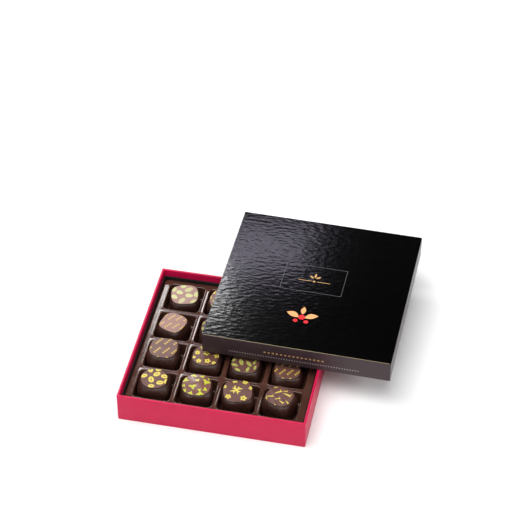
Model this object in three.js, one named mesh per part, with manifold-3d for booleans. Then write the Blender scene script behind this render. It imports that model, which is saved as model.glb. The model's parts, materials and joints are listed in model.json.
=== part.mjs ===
// A box of sixteen chocolate pralines: a rigid paper-wrapped tray box with a card liner, a
// thermoformed insert with a pocket for each praline, the pralines, and the lid lying across one corner.
// Millimetres, +Z up. The origin is the centre of the box's underside. The open pockets that show
// in front are on the -Y side, and the lid lies towards +X and +Y.

import * as THREE from "three";
import { mergeVertices } from "three/addons/utils/BufferGeometryUtils.js";
import Module from "manifold-3d";

const wasm = await Module();
wasm.setup();

// Box: board walls wrapped in glossy paper
const BOX_SIDE = 160;
const BOX_HEIGHT = 27.7;
const BOARD = 2.0;
const BOX_CORNER = 0.9;
const EDGE_ROUND = 0.3;

// Gap between pieces that rest on or stand in one another
const REST_GAP = 0.3;

// Steps round a corner, over a rounded edge and round a pocket's corner
const CORNER_STEPS = 4;
const EDGE_STEPS = 2;
const POCKET_STEPS = 3;

// Points nearer than this are one point
const SAME_POINT = 1e-4;

// Liner: a black card band round the inside of the walls
const LINER_CARD = 0.9;
const LINER_DROP = 6.8;

// Insert: thin brown sheet with a flange, a skirt and four rows of four pockets
const TRAY_SHEET = 0.6;
const TRAY_TOP = 18.8;
const TRAY_SIDE = 152.4;
const TRAY_CORNER = 4;
const POCKETS = 4;
const POCKET_PITCH = 36.0;
const POCKET_MOUTH = 32.4;
const POCKET_FOOT = 31.0;
const POCKET_FLOOR = 6.0;
const POCKET_CORNER = 3.6;
const POCKET_LIP = 0.6;
const POCKET_SHIFT_X = -0.2;
const POCKET_SHIFT_Y = 0.9;

// Praline: one enrobed body, a flat printed top with a small lip over its waist. Squareness is a
// ring's power: 2 is a circle, and more is nearer a square.
const PRALINE_FOOT = 13.1;
const BODY_SQUARENESS = 3.6;
const SHOULDER_SQUARENESS = 3.2;
const TOP_SQUARENESS = 2.5;
const PRALINE_SIDES = 24;

// A taller filling lifts everything above this height
const PRALINE_BELLY = 5.2;

// Its outline from the foot to the middle of its top: half width, height and squareness
const PRALINE_OUTLINE = [
  [0, 0, BODY_SQUARENESS],
  [12.3, 0, BODY_SQUARENESS],
  [13.5, 1.2, BODY_SQUARENESS],
  [14.0, 5.2, BODY_SQUARENESS],
  [13.8, 9.2, BODY_SQUARENESS],
  [13.1, 12.6, SHOULDER_SQUARENESS],
  [11.55, 15.7, TOP_SQUARENESS],
  [11.9, 16.15, TOP_SQUARENESS],
  [11.8, 16.55, TOP_SQUARENESS],
  [11.2, 16.8, TOP_SQUARENESS],
  [0, 16.8, TOP_SQUARENESS],
];

// Lid: thin card, a little wider than the box that it slides over
const LID_SLACK = 0.35;
const LID_WALL = 0.65;
const LID_TOP = 1.2;
const LID_HEIGHT = 19.8;
const LID_SHIFT_X = 60.7;
const LID_SHIFT_Y = 64.7;
const LID_TURN = -1.1;

// How each praline lies in its pocket, row by row from the far side: shift along X and Y in mm,
// turn and lean in degrees, size factor, and how much taller it is than the outline in mm
const PRALINES = [
  [
    [0.4, 0.5, 13, 0.8, 0.97, 0],
    [-0.5, 0.8, -6, 1.2, 1.0, 0.6],
    [0.3, 0.5, 8, 0.6, 0.99, 0.3],
    [-0.4, 0.8, -3, 1.0, 1.01, 0.8],
  ],
  [
    [-1.1, 0.1, -21, 1.4, 0.94, 0],
    [0.2, 0.7, 5, 0.9, 1.0, 0.5],
    [-0.3, 0.4, -9, 1.1, 0.98, 1.2],
    [0.5, 0.9, 4, 0.7, 1.0, 0.2],
  ],
  [
    [-1.2, 1.1, 0, -1.0, 1.0, 2.9],
    [-0.1, 1.1, 3, 0.8, 0.98, 1.2],
    [-1.5, 0.9, 0, 1.3, 0.97, 0.3],
    [-1.3, 0.5, 8, 0.9, 0.96, 0],
  ],
  [
    [-0.3, 1.1, 4, 1.1, 0.99, 2.7],
    [0.3, 0.8, 9, 0.5, 0.99, 2.7],
    [-0.4, 0.8, 14, 0.9, 0.98, 2.8],
    [-0.9, 0.6, -20, -2.5, 0.95, 3.0],
  ],
];

const degrees = THREE.MathUtils.degToRad;

// A square with round corners, centred on the origin.
function roundedSquare(side, radius) {
  const half = side / 2;
  const inner = half - radius;
  const shape = new THREE.Shape();
  shape.absarc(inner, inner, radius, 0, Math.PI / 2);
  shape.absarc(-inner, inner, radius, Math.PI / 2, Math.PI);
  shape.absarc(-inner, -inner, radius, Math.PI, Math.PI * 1.5);
  shape.absarc(inner, -inner, radius, Math.PI * 1.5, Math.PI * 2);
  shape.closePath();
  return shape;
}

// An upright slab of a square with round corners, from z = low to z = high, with rounded edges.
function slab(side, radius, low, high, round = 0) {
  const geometry = new THREE.ExtrudeGeometry(roundedSquare(side - 2 * round, radius - round), {
    depth: high - low - 2 * round,
    curveSegments: CORNER_STEPS,
    bevelEnabled: round > 0,
    bevelThickness: round,
    bevelSize: round,
    bevelSegments: EDGE_STEPS,
  });
  return geometry.translate(0, 0, low + round);
}

// A turned shape whose rings become squares with round corners. Each profile point holds the
// ring's half width, its height and its corner radius, and the first and last lie on the axis.
function squareTurning(profile, cornerSteps) {
  const perCorner = cornerSteps + 1;
  const around = 4 * perCorner;
  const points = profile.map(([half, z]) => new THREE.Vector2(half, z));
  const geometry = new THREE.LatheGeometry(points, around);
  const position = geometry.getAttribute("position");
  for (let i = 0; i <= around; i++) {
    const corner = Math.floor((i % around) / perCorner);
    const angle = ((corner + (i % perCorner) / cornerSteps) * Math.PI) / 2;
    const sideX = corner === 0 || corner === 3 ? 1 : -1;
    const sideY = corner < 2 ? 1 : -1;
    profile.forEach(([half, z, radius = 0], ring) => {
      const arc = Math.min(radius, half);
      const x = sideX * (half - arc) + arc * Math.cos(angle);
      const y = sideY * (half - arc) + arc * Math.sin(angle);
      position.setXYZ(i * profile.length + ring, x, y, z);
    });
  }
  return geometry;
}

// The closed solid of points and the corners of its triangles.
function solidOf(vertProperties, corners) {
  const triVerts = new Uint32Array(corners);
  return new wasm.Manifold(new wasm.Mesh({ numProp: 3, vertProperties, triVerts }));
}

// The closed solid of a geometry, for adding to or taking from another.
function solid(geometry) {
  const bare = geometry.index ? geometry.toNonIndexed() : geometry.clone();
  bare.deleteAttribute("normal");
  bare.deleteAttribute("uv");
  const merged = mergeVertices(bare, SAME_POINT);
  const points = merged.attributes.position.array;
  const corners = [];
  const turned = [];
  for (let i = 0; i < merged.index.count; i += 3) {
    const [a, b, c] = [0, 1, 2].map((k) => merged.index.getX(i + k));
    if (a === b || b === c || c === a) continue;
    corners.push(a, b, c);
    turned.push(a, c, b);
  }
  const made = solidOf(points, corners);
  return made.volume() > 0 ? made : solidOf(points, turned);
}

// The geometry of a solid, with flat faces.
function geometryOf(made) {
  const mesh = made.getMesh();
  const geometry = new THREE.BufferGeometry();
  geometry.setAttribute("position", new THREE.BufferAttribute(mesh.vertProperties, 3));
  geometry.setIndex(new THREE.BufferAttribute(mesh.triVerts, 1));
  const flat = geometry.toNonIndexed();
  flat.computeVertexNormals();
  return flat;
}

// One named piece of the box.
function piece(name, geometry, color, roughness) {
  const material = new THREE.MeshStandardMaterial({ color, roughness, metalness: 0 });
  const mesh = new THREE.Mesh(geometry, material);
  mesh.name = name;
  return mesh;
}

// The box: a floor and four board walls in one piece.
function boxBase() {
  const outer = solid(slab(BOX_SIDE, BOX_CORNER, 0, BOX_HEIGHT, EDGE_ROUND));
  const inside = solid(slab(BOX_SIDE - 2 * BOARD, BOX_CORNER / 2, BOARD, BOX_HEIGHT + BOARD));
  return piece("box_base", geometryOf(outer.subtract(inside)), 0xd0204f, 0.35);
}

// The liner: a band of black card that stands on the floor against the walls.
function wallLiner() {
  const low = BOARD + REST_GAP;
  const side = BOX_SIDE - 2 * BOARD - 2 * REST_GAP;
  const outer = solid(slab(side, BOX_CORNER, low, BOX_HEIGHT - LINER_DROP));
  const inside = solid(slab(side - 2 * LINER_CARD, BOX_CORNER / 2, low - BOARD, BOX_HEIGHT));
  return piece("wall_liner", geometryOf(outer.subtract(inside)), 0x1a1816, 0.7);
}

// The middle of a pocket. Rows count from the far side, columns from the left.
function pocketCentre(row, column) {
  const middle = (POCKETS - 1) / 2;
  const x = POCKET_SHIFT_X + (column - middle) * POCKET_PITCH;
  const y = POCKET_SHIFT_Y + (middle - row) * POCKET_PITCH;
  return [x, y];
}

// A pocket's space or, with the sheet's thickness added, the cup round it.
function pocketForm(sheet) {
  const mouth = POCKET_MOUTH / 2 - POCKET_LIP + sheet;
  const foot = POCKET_FOOT / 2 + sheet;
  const low = POCKET_FLOOR - sheet;
  const rise = POCKET_LIP;
  const corner = POCKET_CORNER + sheet;
  const profile = [
    [0, low],
    [foot - rise, low, corner - rise],
    [foot, low + rise, corner],
    [mouth, TRAY_TOP - POCKET_LIP, corner],
  ];
  if (sheet > 0) profile.push([0, TRAY_TOP - POCKET_LIP]);
  else {
    profile.push([mouth + POCKET_LIP, TRAY_TOP, corner + POCKET_LIP]);
    profile.push([mouth + POCKET_LIP, TRAY_TOP + BOARD, corner + POCKET_LIP]);
    profile.push([0, TRAY_TOP + BOARD]);
  }
  return profile;
}

// The insert: a flange with a skirt down to the floor, and a cup hung under each mouth.
function pralineTray() {
  const low = BOARD + REST_GAP;
  const flange = solid(slab(TRAY_SIDE, TRAY_CORNER, TRAY_TOP - 2 * POCKET_LIP, TRAY_TOP, EDGE_ROUND));
  const skirt = solid(slab(TRAY_SIDE, TRAY_CORNER, low, TRAY_TOP - POCKET_LIP));
  const under = slab(TRAY_SIDE - 2 * TRAY_SHEET, TRAY_CORNER - TRAY_SHEET, 0, TRAY_TOP - 2 * POCKET_LIP);
  const cup = solid(squareTurning(pocketForm(TRAY_SHEET), POCKET_STEPS));
  const space = solid(squareTurning(pocketForm(0), POCKET_STEPS));
  let tray = flange.add(skirt.subtract(solid(under)));
  const centres = [];
  for (let row = 0; row < POCKETS; row++) {
    for (let column = 0; column < POCKETS; column++) centres.push(pocketCentre(row, column));
  }
  for (const [x, y] of centres) tray = tray.add(cup.translate([x, y, 0]));
  for (const [x, y] of centres) tray = tray.subtract(space.translate([x, y, 0]));
  return piece("praline_tray", geometryOf(tray), 0x4a2a22, 0.25);
}

// One praline: a turned body whose rings are squared off towards the sides of a square.
function pralineGeometry(taller) {
  const points = PRALINE_OUTLINE.map(([half, z]) => new THREE.Vector2(half, z));
  const geometry = new THREE.LatheGeometry(points, PRALINE_SIDES);
  const position = geometry.getAttribute("position");
  for (let i = 0; i <= PRALINE_SIDES; i++) {
    const angle = ((i % PRALINE_SIDES) * 2 * Math.PI) / PRALINE_SIDES;
    const [c, s] = [Math.cos(angle), Math.sin(angle)];
    PRALINE_OUTLINE.forEach(([half, z, power], ring) => {
      const reach = half / (Math.abs(c) ** power + Math.abs(s) ** power) ** (1 / power);
      const height = z > PRALINE_BELLY ? z + taller : z;
      position.setXYZ(i * PRALINE_OUTLINE.length + ring, reach * c, reach * s, height);
    });
  }
  return geometry;
}

// A praline in its pocket, a little off the middle, turned and leaning.
function praline(row, column) {
  const [shiftX, shiftY, turn, lean, size, taller] = PRALINES[row][column];
  const [x, y] = pocketCentre(row, column);
  const name = `praline_r${row + 1}_c${column + 1}`;
  const mesh = piece(name, geometryOf(solid(pralineGeometry(taller))), 0x3a211c, 0.35);
  const lift = PRALINE_FOOT * Math.abs(Math.sin(degrees(lean)));
  mesh.position.set(x + shiftX, y + shiftY, POCKET_FLOOR + REST_GAP + lift);
  mesh.rotation.set(degrees(lean), 0, degrees(turn));
  mesh.scale.set(size, size, 1);
  return mesh;
}

// The lid: a shallow card cap, open below, that lies flat on the box's rim.
function lid() {
  const inner = BOX_SIDE + 2 * LID_SLACK;
  const side = inner + 2 * LID_WALL;
  const outer = solid(slab(side, BOX_CORNER, 0, LID_HEIGHT, EDGE_ROUND / 2));
  const inside = solid(slab(inner, BOX_CORNER / 2, -BOARD, LID_HEIGHT - LID_TOP));
  const mesh = piece("lid", geometryOf(outer.subtract(inside)), 0x141214, 0.3);
  mesh.position.set(LID_SHIFT_X, LID_SHIFT_Y, BOX_HEIGHT + REST_GAP);
  mesh.rotation.z = degrees(LID_TURN);
  return mesh;
}

const pralineBox = new THREE.Group();
pralineBox.add(boxBase(), wallLiner(), pralineTray(), lid());
for (let row = 0; row < POCKETS; row++) {
  for (let column = 0; column < POCKETS; column++) pralineBox.add(praline(row, column));
}

export default pralineBox;
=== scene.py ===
"""An open gift box of sixteen chocolate pralines, with its black lid lying across the far right corner.

Sizes are in millimetres and become metres where a mesh, a light or the camera is made. +Z is up, the
origin is the middle of the box's underside, and the pockets that show in front are on the -Y side.
"""

import json
import logging
import math
from dataclasses import dataclass, field
from enum import Enum
from typing import Any, Callable, Sequence

import bmesh
import bpy
from mathutils import Matrix, Vector, noise

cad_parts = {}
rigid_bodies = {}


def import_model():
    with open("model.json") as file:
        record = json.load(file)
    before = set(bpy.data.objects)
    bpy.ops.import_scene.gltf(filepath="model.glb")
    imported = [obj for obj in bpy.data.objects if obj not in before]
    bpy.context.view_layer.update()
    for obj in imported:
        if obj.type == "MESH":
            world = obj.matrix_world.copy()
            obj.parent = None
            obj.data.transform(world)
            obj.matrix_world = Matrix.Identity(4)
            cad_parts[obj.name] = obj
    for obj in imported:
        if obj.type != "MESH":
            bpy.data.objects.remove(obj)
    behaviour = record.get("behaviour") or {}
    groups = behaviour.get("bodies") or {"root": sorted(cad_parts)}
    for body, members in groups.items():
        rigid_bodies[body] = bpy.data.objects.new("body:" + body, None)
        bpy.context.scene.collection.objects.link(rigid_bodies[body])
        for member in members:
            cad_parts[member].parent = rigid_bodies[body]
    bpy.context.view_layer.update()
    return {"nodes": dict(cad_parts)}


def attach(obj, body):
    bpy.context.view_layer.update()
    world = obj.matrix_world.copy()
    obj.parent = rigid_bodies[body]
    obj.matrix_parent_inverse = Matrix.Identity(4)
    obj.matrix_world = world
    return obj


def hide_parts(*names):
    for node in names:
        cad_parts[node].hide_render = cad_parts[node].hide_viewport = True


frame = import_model()

MM = 0.001
BODY = "root"

Point = tuple[float, float, float]
Flat = tuple[float, float]
Seat = tuple[int, int]

# the smallest corner radius of a ring
SHARPEST = 0.05

# a grain that is as long one way as the others
EVEN = (1.0, 1.0, 1.0)

log = logging.getLogger("praline_box")


def linear(code: str) -> tuple[float, float, float, float]:
    """Turns an sRGB colour into the linear one that shaders and lights take.

    Args:
        code: the colour as "#RRGGBB".

    Returns:
        Linear red, green and blue, and an alpha of 1.
    """
    channels = [int(code[i : i + 2], 16) / 255 for i in (1, 3, 5)]
    return (*(c / 12.92 if c <= 0.04045 else ((c + 0.055) / 1.055) ** 2.4 for c in channels), 1.0)


def add(
    tree: bpy.types.NodeTree, kind: str, settings: dict | None = None, inputs: dict | None = None
) -> bpy.types.Node:
    """Adds a node to a tree, with its settings, its socket values and its incoming links.

    Args:
        tree: the node tree.
        kind: the node's type name.
        settings: values for the node's own properties.
        inputs: for each input's name or number, a value, or an output socket to link from.

    Returns:
        The new node.
    """
    node = tree.nodes.new(kind)
    for name, value in (settings or {}).items():
        setattr(node, name, value)
    for key, value in (inputs or {}).items():
        if isinstance(value, bpy.types.NodeSocket):
            tree.links.new(value, node.inputs[key])
        else:
            node.inputs[key].default_value = value
    return node


def geometry_tree(name: str, inputs: dict[str, str]) -> tuple[bpy.types.NodeTree, bpy.types.Node]:
    """Starts a Geometry Nodes tree with named inputs.

    Args:
        name: the tree's name.
        inputs: the socket type of each named input, after the geometry.

    Returns:
        The tree and its Group Input node.
    """
    tree = bpy.data.node_groups.new(name, "GeometryNodeTree")
    tree.is_modifier = True
    tree.interface.new_socket("Geometry", in_out="INPUT", socket_type="NodeSocketGeometry")
    for label, kind in inputs.items():
        tree.interface.new_socket(label, in_out="INPUT", socket_type=kind)
    tree.interface.new_socket("Geometry", in_out="OUTPUT", socket_type="NodeSocketGeometry")
    return tree, tree.nodes.new("NodeGroupInput")


def run_tree(obj: bpy.types.Object, tree: bpy.types.NodeTree, values: dict[str, Any]) -> None:
    """Runs a Geometry Nodes tree on an object and keeps the result as its plain mesh.

    Args:
        obj: the object that carries the modifier for the moment.
        tree: the tree.
        values: a value for each named input.
    """
    modifier = obj.modifiers.new(tree.name, "NODES")
    modifier.node_group = tree
    for item in tree.interface.items_tree:
        if item.item_type == "SOCKET" and item.in_out == "INPUT" and item.name in values:
            modifier[item.identifier] = values[item.name]
    keep_result(obj)


def keep_result(obj: bpy.types.Object) -> None:
    """Replaces an object's mesh by its evaluated one and removes its modifiers.

    Args:
        obj: the object.
    """
    graph = bpy.context.evaluated_depsgraph_get()
    made = bpy.data.meshes.new_from_object(
        obj.evaluated_get(graph), preserve_all_data_layers=True, depsgraph=graph
    )
    obj.modifiers.clear()
    obj.data = made


def mesh_object(name: str, points: Sequence[Point], faces: Sequence[Sequence[int]]) -> bpy.types.Object:
    """Makes an object in the scene from points in millimetres.

    Args:
        name: the object's name.
        points: the corner points.
        faces: the corner numbers of each face.

    Returns:
        The object, at the origin.
    """
    mesh = bpy.data.meshes.new(name)
    mesh.from_pydata([[c * MM for c in p] for p in points], [], faces)
    obj = bpy.data.objects.new(name, mesh)
    bpy.context.scene.collection.objects.link(obj)
    return obj


def face_outwards(obj: bpy.types.Object, smooth_degrees: float = 30.0) -> None:
    """Merges doubled points of a closed mesh, points its faces outwards and smooths its soft edges.

    Args:
        obj: the object of the mesh.
        smooth_degrees: edges that turn by less than this are smooth.
    """
    shell = bmesh.new()
    shell.from_mesh(obj.data)
    bmesh.ops.remove_doubles(shell, verts=shell.verts, dist=0.002 * MM)
    bmesh.ops.recalc_face_normals(shell, faces=shell.faces)
    shell.to_mesh(obj.data)
    shell.free()
    smooth(obj, smooth_degrees)


def smooth(obj: bpy.types.Object, degrees: float) -> None:
    """Shades a mesh smooth, with sharp edges where it turns by more than this angle."""
    obj.data.shade_smooth()
    obj.data.set_sharp_from_angle(angle=math.radians(degrees))


def drop(*objs: bpy.types.Object) -> None:
    """Removes helper objects from the file."""
    for obj in objs:
        bpy.data.objects.remove(obj)


def finish_piece(obj: bpy.types.Object, slot: str | None, *nodes: str) -> bpy.types.Object:
    """Hands a finished piece to the frame.

    Args:
        obj: the piece.
        slot: the record's material slot, or None for trim that has none; it is not used.
        nodes: the CAD nodes that the piece stands for.

    Returns:
        The piece.
    """
    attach(obj, BODY)
    if nodes:
        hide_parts(*nodes)
    log.info("%s: %d faces", obj.name, len(obj.data.polygons))
    return obj


def square_ring(half: float, radius: float, corner_steps: int, side_steps: int) -> list[Flat]:
    """Gives the points round a square with round corners, anticlockwise from the middle of +X's upper half.

    Args:
        half: half of the square's side.
        radius: the corner radius.
        corner_steps: steps round each corner.
        side_steps: steps along each straight side.

    Returns:
        The points, corner by corner.
    """
    centre = half - radius
    corners = []
    for quarter in range(4):
        turn = quarter * math.pi / 2
        middle = turn + math.pi / 4
        cx, cy = centre * math.sqrt(2) * math.cos(middle), centre * math.sqrt(2) * math.sin(middle)
        arc = []
        for step in range(corner_steps + 1):
            angle = turn + step / corner_steps * math.pi / 2
            arc.append((cx + radius * math.cos(angle), cy + radius * math.sin(angle)))
        corners.append(arc)
    return with_sides(corners, side_steps)


def with_sides(corners: Sequence[Sequence[Flat]], side_steps: int) -> list[Flat]:
    """Joins the points of four corners, with evenly spaced points between one corner and the next.

    Args:
        corners: each corner's points, anticlockwise.
        side_steps: steps along each straight side.

    Returns:
        The closed ring's points.
    """
    ring: list[Flat] = []
    for quarter, arc in enumerate(corners):
        ring.extend(arc)
        (x0, y0), (x1, y1) = arc[-1], corners[(quarter + 1) % 4][0]
        for step in range(1, side_steps):
            t = step / side_steps
            ring.append((x0 + (x1 - x0) * t, y0 + (y1 - y0) * t))
    return ring


def loft(rings: Sequence[Sequence[Point]], closed_ends: bool = True) -> tuple[list[Point], list[list[int]]]:
    """Joins rings of equal length into a tube of quads.

    Args:
        rings: the rings, from one end to the other.
        closed_ends: whether the first and last ring get a face across.

    Returns:
        The points and the faces.
    """
    count = len(rings[0])
    points = [p for ring in rings for p in ring]
    faces = []
    for level in range(len(rings) - 1):
        low, high = level * count, (level + 1) * count
        for i in range(count):
            j = (i + 1) % count
            faces.append([low + i, low + j, high + j, high + i])
    if closed_ends:
        last = (len(rings) - 1) * count
        faces.append(list(range(count))[::-1])
        faces.append([last + i for i in range(count)])
    return points, faces


def turned_square(
    profile: Sequence[Point], corner_steps: int, side_steps: int
) -> tuple[list[Point], list[list[int]]]:
    """Makes a closed shell from the profile of a square turning.

    Args:
        profile: half width, height and corner radius of each ring.
        corner_steps: steps round each corner.
        side_steps: steps along each straight side.

    Returns:
        The points and the faces.
    """
    rings = [
        [(x, y, z) for x, y in square_ring(half, radius, corner_steps, side_steps)]
        for half, z, radius in profile
    ]
    return loft(rings)


def rounded_edge(
    half: float, height: float, radius: float, start: float, end: float, corner: float
) -> list[Point]:
    """Gives the rings of an edge's rounding, from one angle to another.

    Args:
        half: half width at the centre of the rounding.
        height: height of the centre of the rounding.
        radius: radius of the rounding.
        start: first angle in degrees, 0 outwards and 90 up.
        end: last angle in degrees.
        corner: corner radius of the ring at the centre of the rounding.

    Returns:
        Half width, height and corner radius of each ring.
    """
    steps = 4
    rings = []
    for step in range(steps + 1):
        angle = math.radians(start + (end - start) * step / steps)
        out = radius * math.cos(angle)
        rings.append((half + out, height + radius * math.sin(angle), max(corner + out, SHARPEST)))
    return rings


@dataclass(frozen=True)
class Finish:
    """A material made of nodes, on Object coordinates in metres."""

    name: str

    def build(self) -> bpy.types.Material:
        """Makes the Blender material, once for each name.

        Returns:
            The material.
        """
        made = bpy.data.materials.get(self.name)
        if made:
            return made
        made = bpy.data.materials.new(self.name)
        made.use_nodes = True
        made.node_tree.nodes.clear()
        shader = self.surface(made.node_tree)
        add(made.node_tree, "ShaderNodeOutputMaterial", None, {"Surface": shader.outputs[0]})
        return made

    def surface(self, tree: bpy.types.NodeTree) -> bpy.types.Node:
        """Adds the surface shader and what feeds it, and returns the shader."""
        raise NotImplementedError

    @staticmethod
    def grain(
        tree: bpy.types.NodeTree, size: float, detail: float = 2.0, stretch: Point = EVEN
    ) -> bpy.types.NodeSocket:
        """Adds a noise whose lumps are about size millimetres across.

        Args:
            tree: the material's tree.
            size: the size of a lump in millimetres.
            detail: octaves of finer noise.
            stretch: how many times longer the lumps are along each axis.

        Returns:
            The noise, from 0 to 1.
        """
        source = add(tree, "ShaderNodeTexCoord")
        mapping = add(
            tree,
            "ShaderNodeMapping",
            None,
            {"Vector": source.outputs["Object"], "Scale": [1 / s for s in stretch]},
        )
        texture = add(
            tree,
            "ShaderNodeTexNoise",
            None,
            {"Vector": mapping.outputs[0], "Scale": 1 / (size * MM), "Detail": detail},
        )
        return texture.outputs[0]

    def patches(
        self, tree: bpy.types.NodeTree, size: float, low: float, high: float, detail: float = 2.0
    ) -> bpy.types.NodeSocket:
        """Makes a value wander between two values in soft patches.

        Args:
            tree: the material's tree.
            size: the size of a patch in millimetres.
            low: the value at one end.
            high: the value at the other end.
            detail: octaves of finer noise.

        Returns:
            The value.
        """
        # most of a noise lies between 0.3 and 0.7
        ranged = add(
            tree,
            "ShaderNodeMapRange",
            None,
            {0: self.grain(tree, size, detail), 1: 0.3, 2: 0.7, 3: low, 4: high},
        )
        return ranged.outputs[0]

    def mottle(
        self,
        tree: bpy.types.NodeTree,
        size: float,
        colours: Sequence[tuple[float, ...]],
        detail: float = 2.0,
        stretch: Point = EVEN,
    ) -> bpy.types.NodeSocket:
        """Makes a colour wander between two colours in soft patches.

        Args:
            tree: the material's tree.
            size: the size of a patch in millimetres.
            colours: the two linear colours.
            detail: octaves of finer noise.
            stretch: how many times longer the patches are along each axis.

        Returns:
            The colour.
        """
        first, second = colours
        amount = self.grain(tree, size, detail, stretch)
        mixed = add(tree, "ShaderNodeMix", {"data_type": "RGBA"}, {0: amount, 6: first, 7: second})
        return mixed.outputs[2]

    def relief(
        self,
        tree: bpy.types.NodeTree,
        size: float,
        depth: float,
        detail: float = 2.0,
        stretch: Point = EVEN,
        under: bpy.types.NodeSocket | None = None,
    ) -> bpy.types.NodeSocket:
        """Adds lumps in the surface, over another relief if there is one.

        Args:
            tree: the material's tree.
            size: the size of a lump in millimetres.
            depth: the lumps' depth in millimetres.
            detail: octaves of finer noise.
            stretch: how many times longer the lumps are along each axis.
            under: the normal of the relief below.

        Returns:
            The normal.
        """
        height = self.grain(tree, size, detail, stretch)
        inputs = {"Height": height, "Distance": depth * MM, "Strength": 1.0}
        if under is not None:
            inputs["Normal"] = under
        return add(tree, "ShaderNodeBump", None, inputs).outputs[0]


@dataclass(frozen=True)
class CoatedPaper(Finish):
    """Red art paper, coated on one side and glued round board: an even colour under a soft gloss."""

    name: str = "coated_red_wrap_paper"
    base: str = "#C80446"
    deep: str = "#B9003C"
    roughness: float = 0.44

    def surface(self, tree: bpy.types.NodeTree) -> bpy.types.Node:
        """Adds the shader: the coating shows the board's long waves and a fine tooth.

        Args:
            tree: the material's node tree.

        Returns:
            The shader node.
        """
        colour = self.mottle(tree, 9.0, (linear(self.base), linear(self.deep)))
        gloss = self.patches(tree, 3.0, self.roughness - 0.04, self.roughness + 0.05)
        wave = self.relief(tree, 30.0, 0.03, 0.0)
        # paper tooth is about 0.1 mm and is drawn at 0.7 mm so that it shows
        tooth = self.relief(tree, 0.7, 0.0008, 0.0, under=wave)
        return add(
            tree,
            "ShaderNodeBsdfPrincipled",
            None,
            {"Base Color": colour, "Roughness": gloss, "Normal": tooth, "IOR": 1.38},
        )


@dataclass(frozen=True)
class LinerCard(Finish):
    """Solid-dyed black card, uncoated: matt, with paper fibres that catch a little light."""

    name: str = "black_liner_card"
    base: str = "#100E0D"
    fibre: str = "#1C1917"

    def surface(self, tree: bpy.types.NodeTree) -> bpy.types.Node:
        """Adds the shader, with fibres drawn along the band.

        Args:
            tree: the material's node tree.

        Returns:
            The shader node.
        """
        along = (4.0, 4.0, 1.0)
        colour = self.mottle(tree, 0.8, (linear(self.base), linear(self.fibre)), 3.0, along)
        normal = self.relief(tree, 0.8, 0.02, 3.0, along)
        return add(
            tree,
            "ShaderNodeBsdfPrincipled",
            None,
            {"Base Color": colour, "Roughness": 0.62, "Normal": normal, "IOR": 1.45},
        )


@dataclass(frozen=True)
class FormedSheet(Finish):
    """Dark brown PET sheet, thermoformed: glossy, with the slow waves of a sheet drawn over a mould."""

    name: str = "thermoformed_brown_sheet"
    base: str = "#42281F"
    thin: str = "#523329"
    roughness: float = 0.13

    def surface(self, tree: bpy.types.NodeTree) -> bpy.types.Node:
        """Adds the shader: a little lighter where the sheet is drawn thin.

        Args:
            tree: the material's node tree.

        Returns:
            The shader node.
        """
        colour = self.mottle(tree, 11.0, (linear(self.base), linear(self.thin)))
        gloss = self.patches(tree, 2.0, self.roughness - 0.03, self.roughness + 0.07)
        wave = self.relief(tree, 10.0, 0.07, 0.0)
        # the mould's blasted face leaves a 0.2 mm grain, drawn at 0.8 mm
        skin = self.relief(tree, 0.8, 0.0015, 0.0, under=wave)
        return add(
            tree,
            "ShaderNodeBsdfPrincipled",
            None,
            {"Base Color": colour, "Roughness": gloss, "Normal": skin, "IOR": 1.57},
        )


@dataclass(frozen=True)
class EnrobedChocolate(Finish):
    """Tempered dark chocolate run over a filling: satin, with slow ripples and a few pinholes."""

    name: str = "enrobed_dark_chocolate"
    base: str = "#3A1F17"
    dark: str = "#2B150F"

    def surface(self, tree: bpy.types.NodeTree) -> bpy.types.Node:
        """Adds the shader: ripples of about 4 mm, longer downwards, and a fine skin over them.

        Args:
            tree: the material's node tree.

        Returns:
            The shader node.
        """
        colour = self.mottle(tree, 5.0, (linear(self.dark), linear(self.base)))
        gloss = self.patches(tree, 2.5, 0.4, 0.52)
        ripple = self.relief(tree, 3.8, 0.36, 1.0, (1.0, 1.0, 1.8))
        skin = self.relief(tree, 0.7, 0.012, under=ripple)
        return add(
            tree,
            "ShaderNodeBsdfPrincipled",
            None,
            {"Base Color": colour, "Roughness": gloss, "Normal": skin, "IOR": 1.46},
        )


@dataclass(frozen=True)
class PrintedTop(Finish):
    """Chocolate set against a printed transfer film: a flat satin face with cocoa-butter ink in it."""

    name: str = "printed_top_yellow"
    ink: str = "#E8D23C"
    base: str = "#5A352C"
    # how much paler the ground is in patches, on the linear scale
    bloom: float = 0.03
    roughness: float = 0.37

    def surface(self, tree: bpy.types.NodeTree) -> bpy.types.Node:
        """Adds the shader: ink shows where the surface is near a printed motif.

        Args:
            tree: the material's node tree.

        Returns:
            The shader node.
        """
        base = linear(self.base)
        pale = (*(channel + self.bloom for channel in base[:3]), 1.0)
        ground = self.mottle(tree, 4.0, (base, pale))
        distance = add(tree, "ShaderNodeAttribute", {"attribute_name": "ink_distance"}).outputs["Fac"]
        edge = add(
            tree,
            "ShaderNodeMapRange",
            {"interpolation_type": "SMOOTHSTEP"},
            {0: distance, 1: 0.05 * MM, 2: 0.24 * MM, 3: 1.0, 4: 0.0},
        )
        # the ink lies thin in places, in flecks of about 0.6 mm
        cover = self.patches(tree, 0.6, 0.64, 0.94, 3.0)
        amount = add(tree, "ShaderNodeMath", {"operation": "MULTIPLY"}, {0: edge.outputs[0], 1: cover})
        colour = add(
            tree,
            "ShaderNodeMix",
            {"data_type": "RGBA"},
            {0: amount.outputs[0], 6: ground, 7: linear(self.ink)},
        )
        gloss = self.patches(tree, 1.5, self.roughness - 0.04, self.roughness + 0.05)
        normal = self.relief(tree, 3.0, 0.03)
        return add(
            tree,
            "ShaderNodeBsdfPrincipled",
            None,
            {"Base Color": colour.outputs[2], "Roughness": gloss, "Normal": normal, "IOR": 1.46},
        )


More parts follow.
